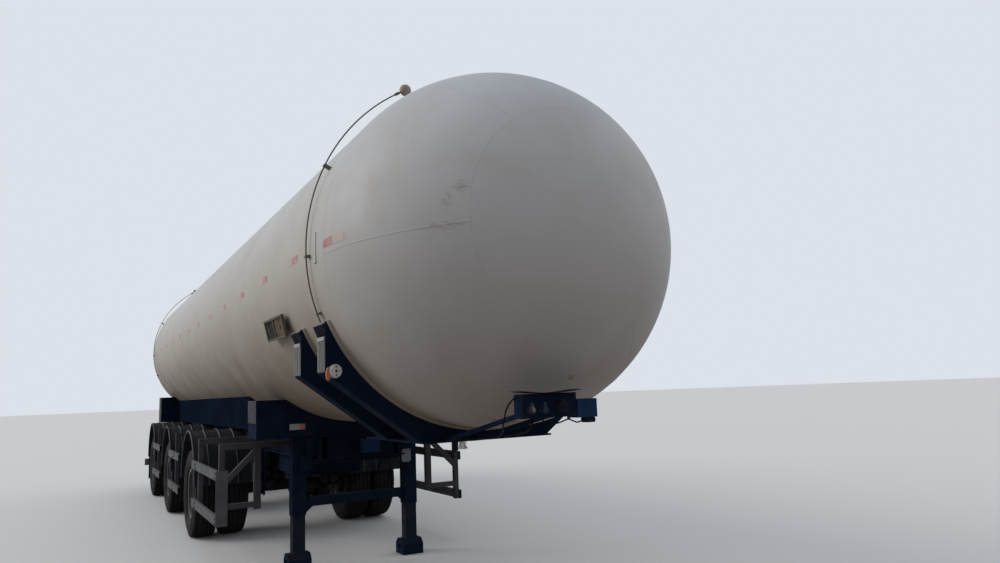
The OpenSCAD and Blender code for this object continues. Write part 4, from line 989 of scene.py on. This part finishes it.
tyre_rubber = dusty_paint("tyre_rubber", (0.008, 0.009, 0.012), (0.015, 0.0155, 0.018), 0.5, 0.8,
                          (0.08, 0.058, 0.044), 0.12)
wheels = [(f"{i}_{side}", axle_x, way) for i, axle_x in enumerate(AXLES_X, 1)
          for side, way in (("right", -1), ("left", 1))]
for wheel, axle_x, way in wheels:
    cover(tyre_rubber, f"tyres_{wheel}")
    pair = [tyre(axle_x, way * (WHEEL_MID + place * DUAL_PITCH / 2)) for place in (-1, 1)]
    tyres = make_piece(f"tyre_pair_{wheel}", pair, tyre_rubber, f"wheel_{wheel}", smooth=True)
    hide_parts(f"tyres_{wheel}")

# Wheel fixings: ten nuts on each painted steel disc, with their washers and stud ends, and
# six bolts round the hub's cap.
STUDS = 10
STUD_R = 0.1675
DISC_OUT = 0.0078
CAP_BOLTS = 6
CAP_BOLT_R = 0.0795
CAP_OUT = 0.1888
rim_paint = dusty_paint("rim_paint", (0.075, 0.078, 0.085), (0.11, 0.112, 0.115), 0.6, 0.55, gloss=0.3)
for wheel, axle_x, way in wheels:
    cover(rim_paint, f"rims_{wheel}")
    parts = []
    for k in range(STUDS):
        a = 2 * math.pi * k / STUDS
        at = (axle_x + STUD_R * math.cos(a), way * (WHEEL_MID + DISC_OUT), TYRE_R + STUD_R * math.sin(a))
        parts += bolt(at, (0, way, 0), 0.033, 0.024)
        parts.append(turned([(0.02, 0.0105), (0.038, 0.0105), (0.041, 0.008)], at, (0, way, 0), 12))
    for k in range(CAP_BOLTS):
        a = 2 * math.pi * (k + 0.5) / CAP_BOLTS
        parts += bolt((axle_x + CAP_BOLT_R * math.cos(a), way * (WHEEL_MID + CAP_OUT),
                       TYRE_R + CAP_BOLT_R * math.sin(a)), (0, way, 0), 0.015, 0.009)
    make_piece(f"wheel_nuts_{wheel}", parts, rim_paint, f"wheel_{wheel}")

# Fenders: moulded plastic half rings with a rolled bead along both edges and three ribs
# between them, and two clamps on each stay. Rubber flaps hang behind the last axle.
FENDER_R = 0.62
FENDER_H = 0.65
FENDER_RIBS_Y = (0.612, 0.774, 0.937, 1.1, 1.262)
CLAMPS_Y = (0.93, 1.15)
fender_plastic = dusty_paint("fender_plastic", (0.007, 0.0095, 0.015), (0.013, 0.0165, 0.023), 0.5, 0.7,
                             DARK_SOIL, 0.15)
fender_edge = dusty_paint("fender_edge", (0.014, 0.019, 0.028), (0.028, 0.034, 0.044), 0.3, 0.5, gloss=0.4)
cover(fender_plastic, "fenders")
cover(rubber, "mud_flaps")
arch = np.linspace(0, np.pi, 97)
outward = np.stack([np.cos(arch), 0 * arch, np.sin(arch)], 1)
bead_parts = []
for axle_x in AXLES_X:
    for way in (-1, 1):
        for y in FENDER_RIBS_Y:
            bead_parts.append(weld(np.array([axle_x, way * y, FENDER_H]) + FENDER_R * outward, outward,
                                   0.02, 0.01, False))
        for y in CLAMPS_Y:
            bead_parts.append(block((axle_x - 0.034, way * y - 0.018, 1.2705),
                                    (axle_x + 0.034, way * y + 0.018, 1.284), 0.003))
make_piece("fender_beads", bead_parts, fender_edge)

# Rear bumper and lamps: a bar in the guards' paint, with domed red lenses on its bracket
# plates, each in a ring.
REAR_LAMPS_Y = (-0.76, -0.9, -1.04, 0.76, 0.9, 1.04)
REAR_LAMPS_X = -6.5895
REAR_LAMPS_Z = 0.612
REAR_LENS = [(0.0, 0.0555), (0.006, 0.056), (0.01, 0.0545), (0.012, 0.05), (0.014, 0.049), (0.022, 0.044),
             (0.027, 0.032), (0.0295, 0.012)]
lens_red = dusty_paint("lens_red", (0.22, 0.01, 0.01), (0.28, 0.04, 0.03), 0.5, 0.3)
cover(guard_paint, "rear_bumper")
cover(lens_red, "rear_lamps")
rear_parts = [turned(REAR_LENS, (REAR_LAMPS_X, y, REAR_LAMPS_Z), (-1, 0, 0), 40) for y in REAR_LAMPS_Y]
make_piece("rear_lamp_lenses", rear_parts, lens_red)
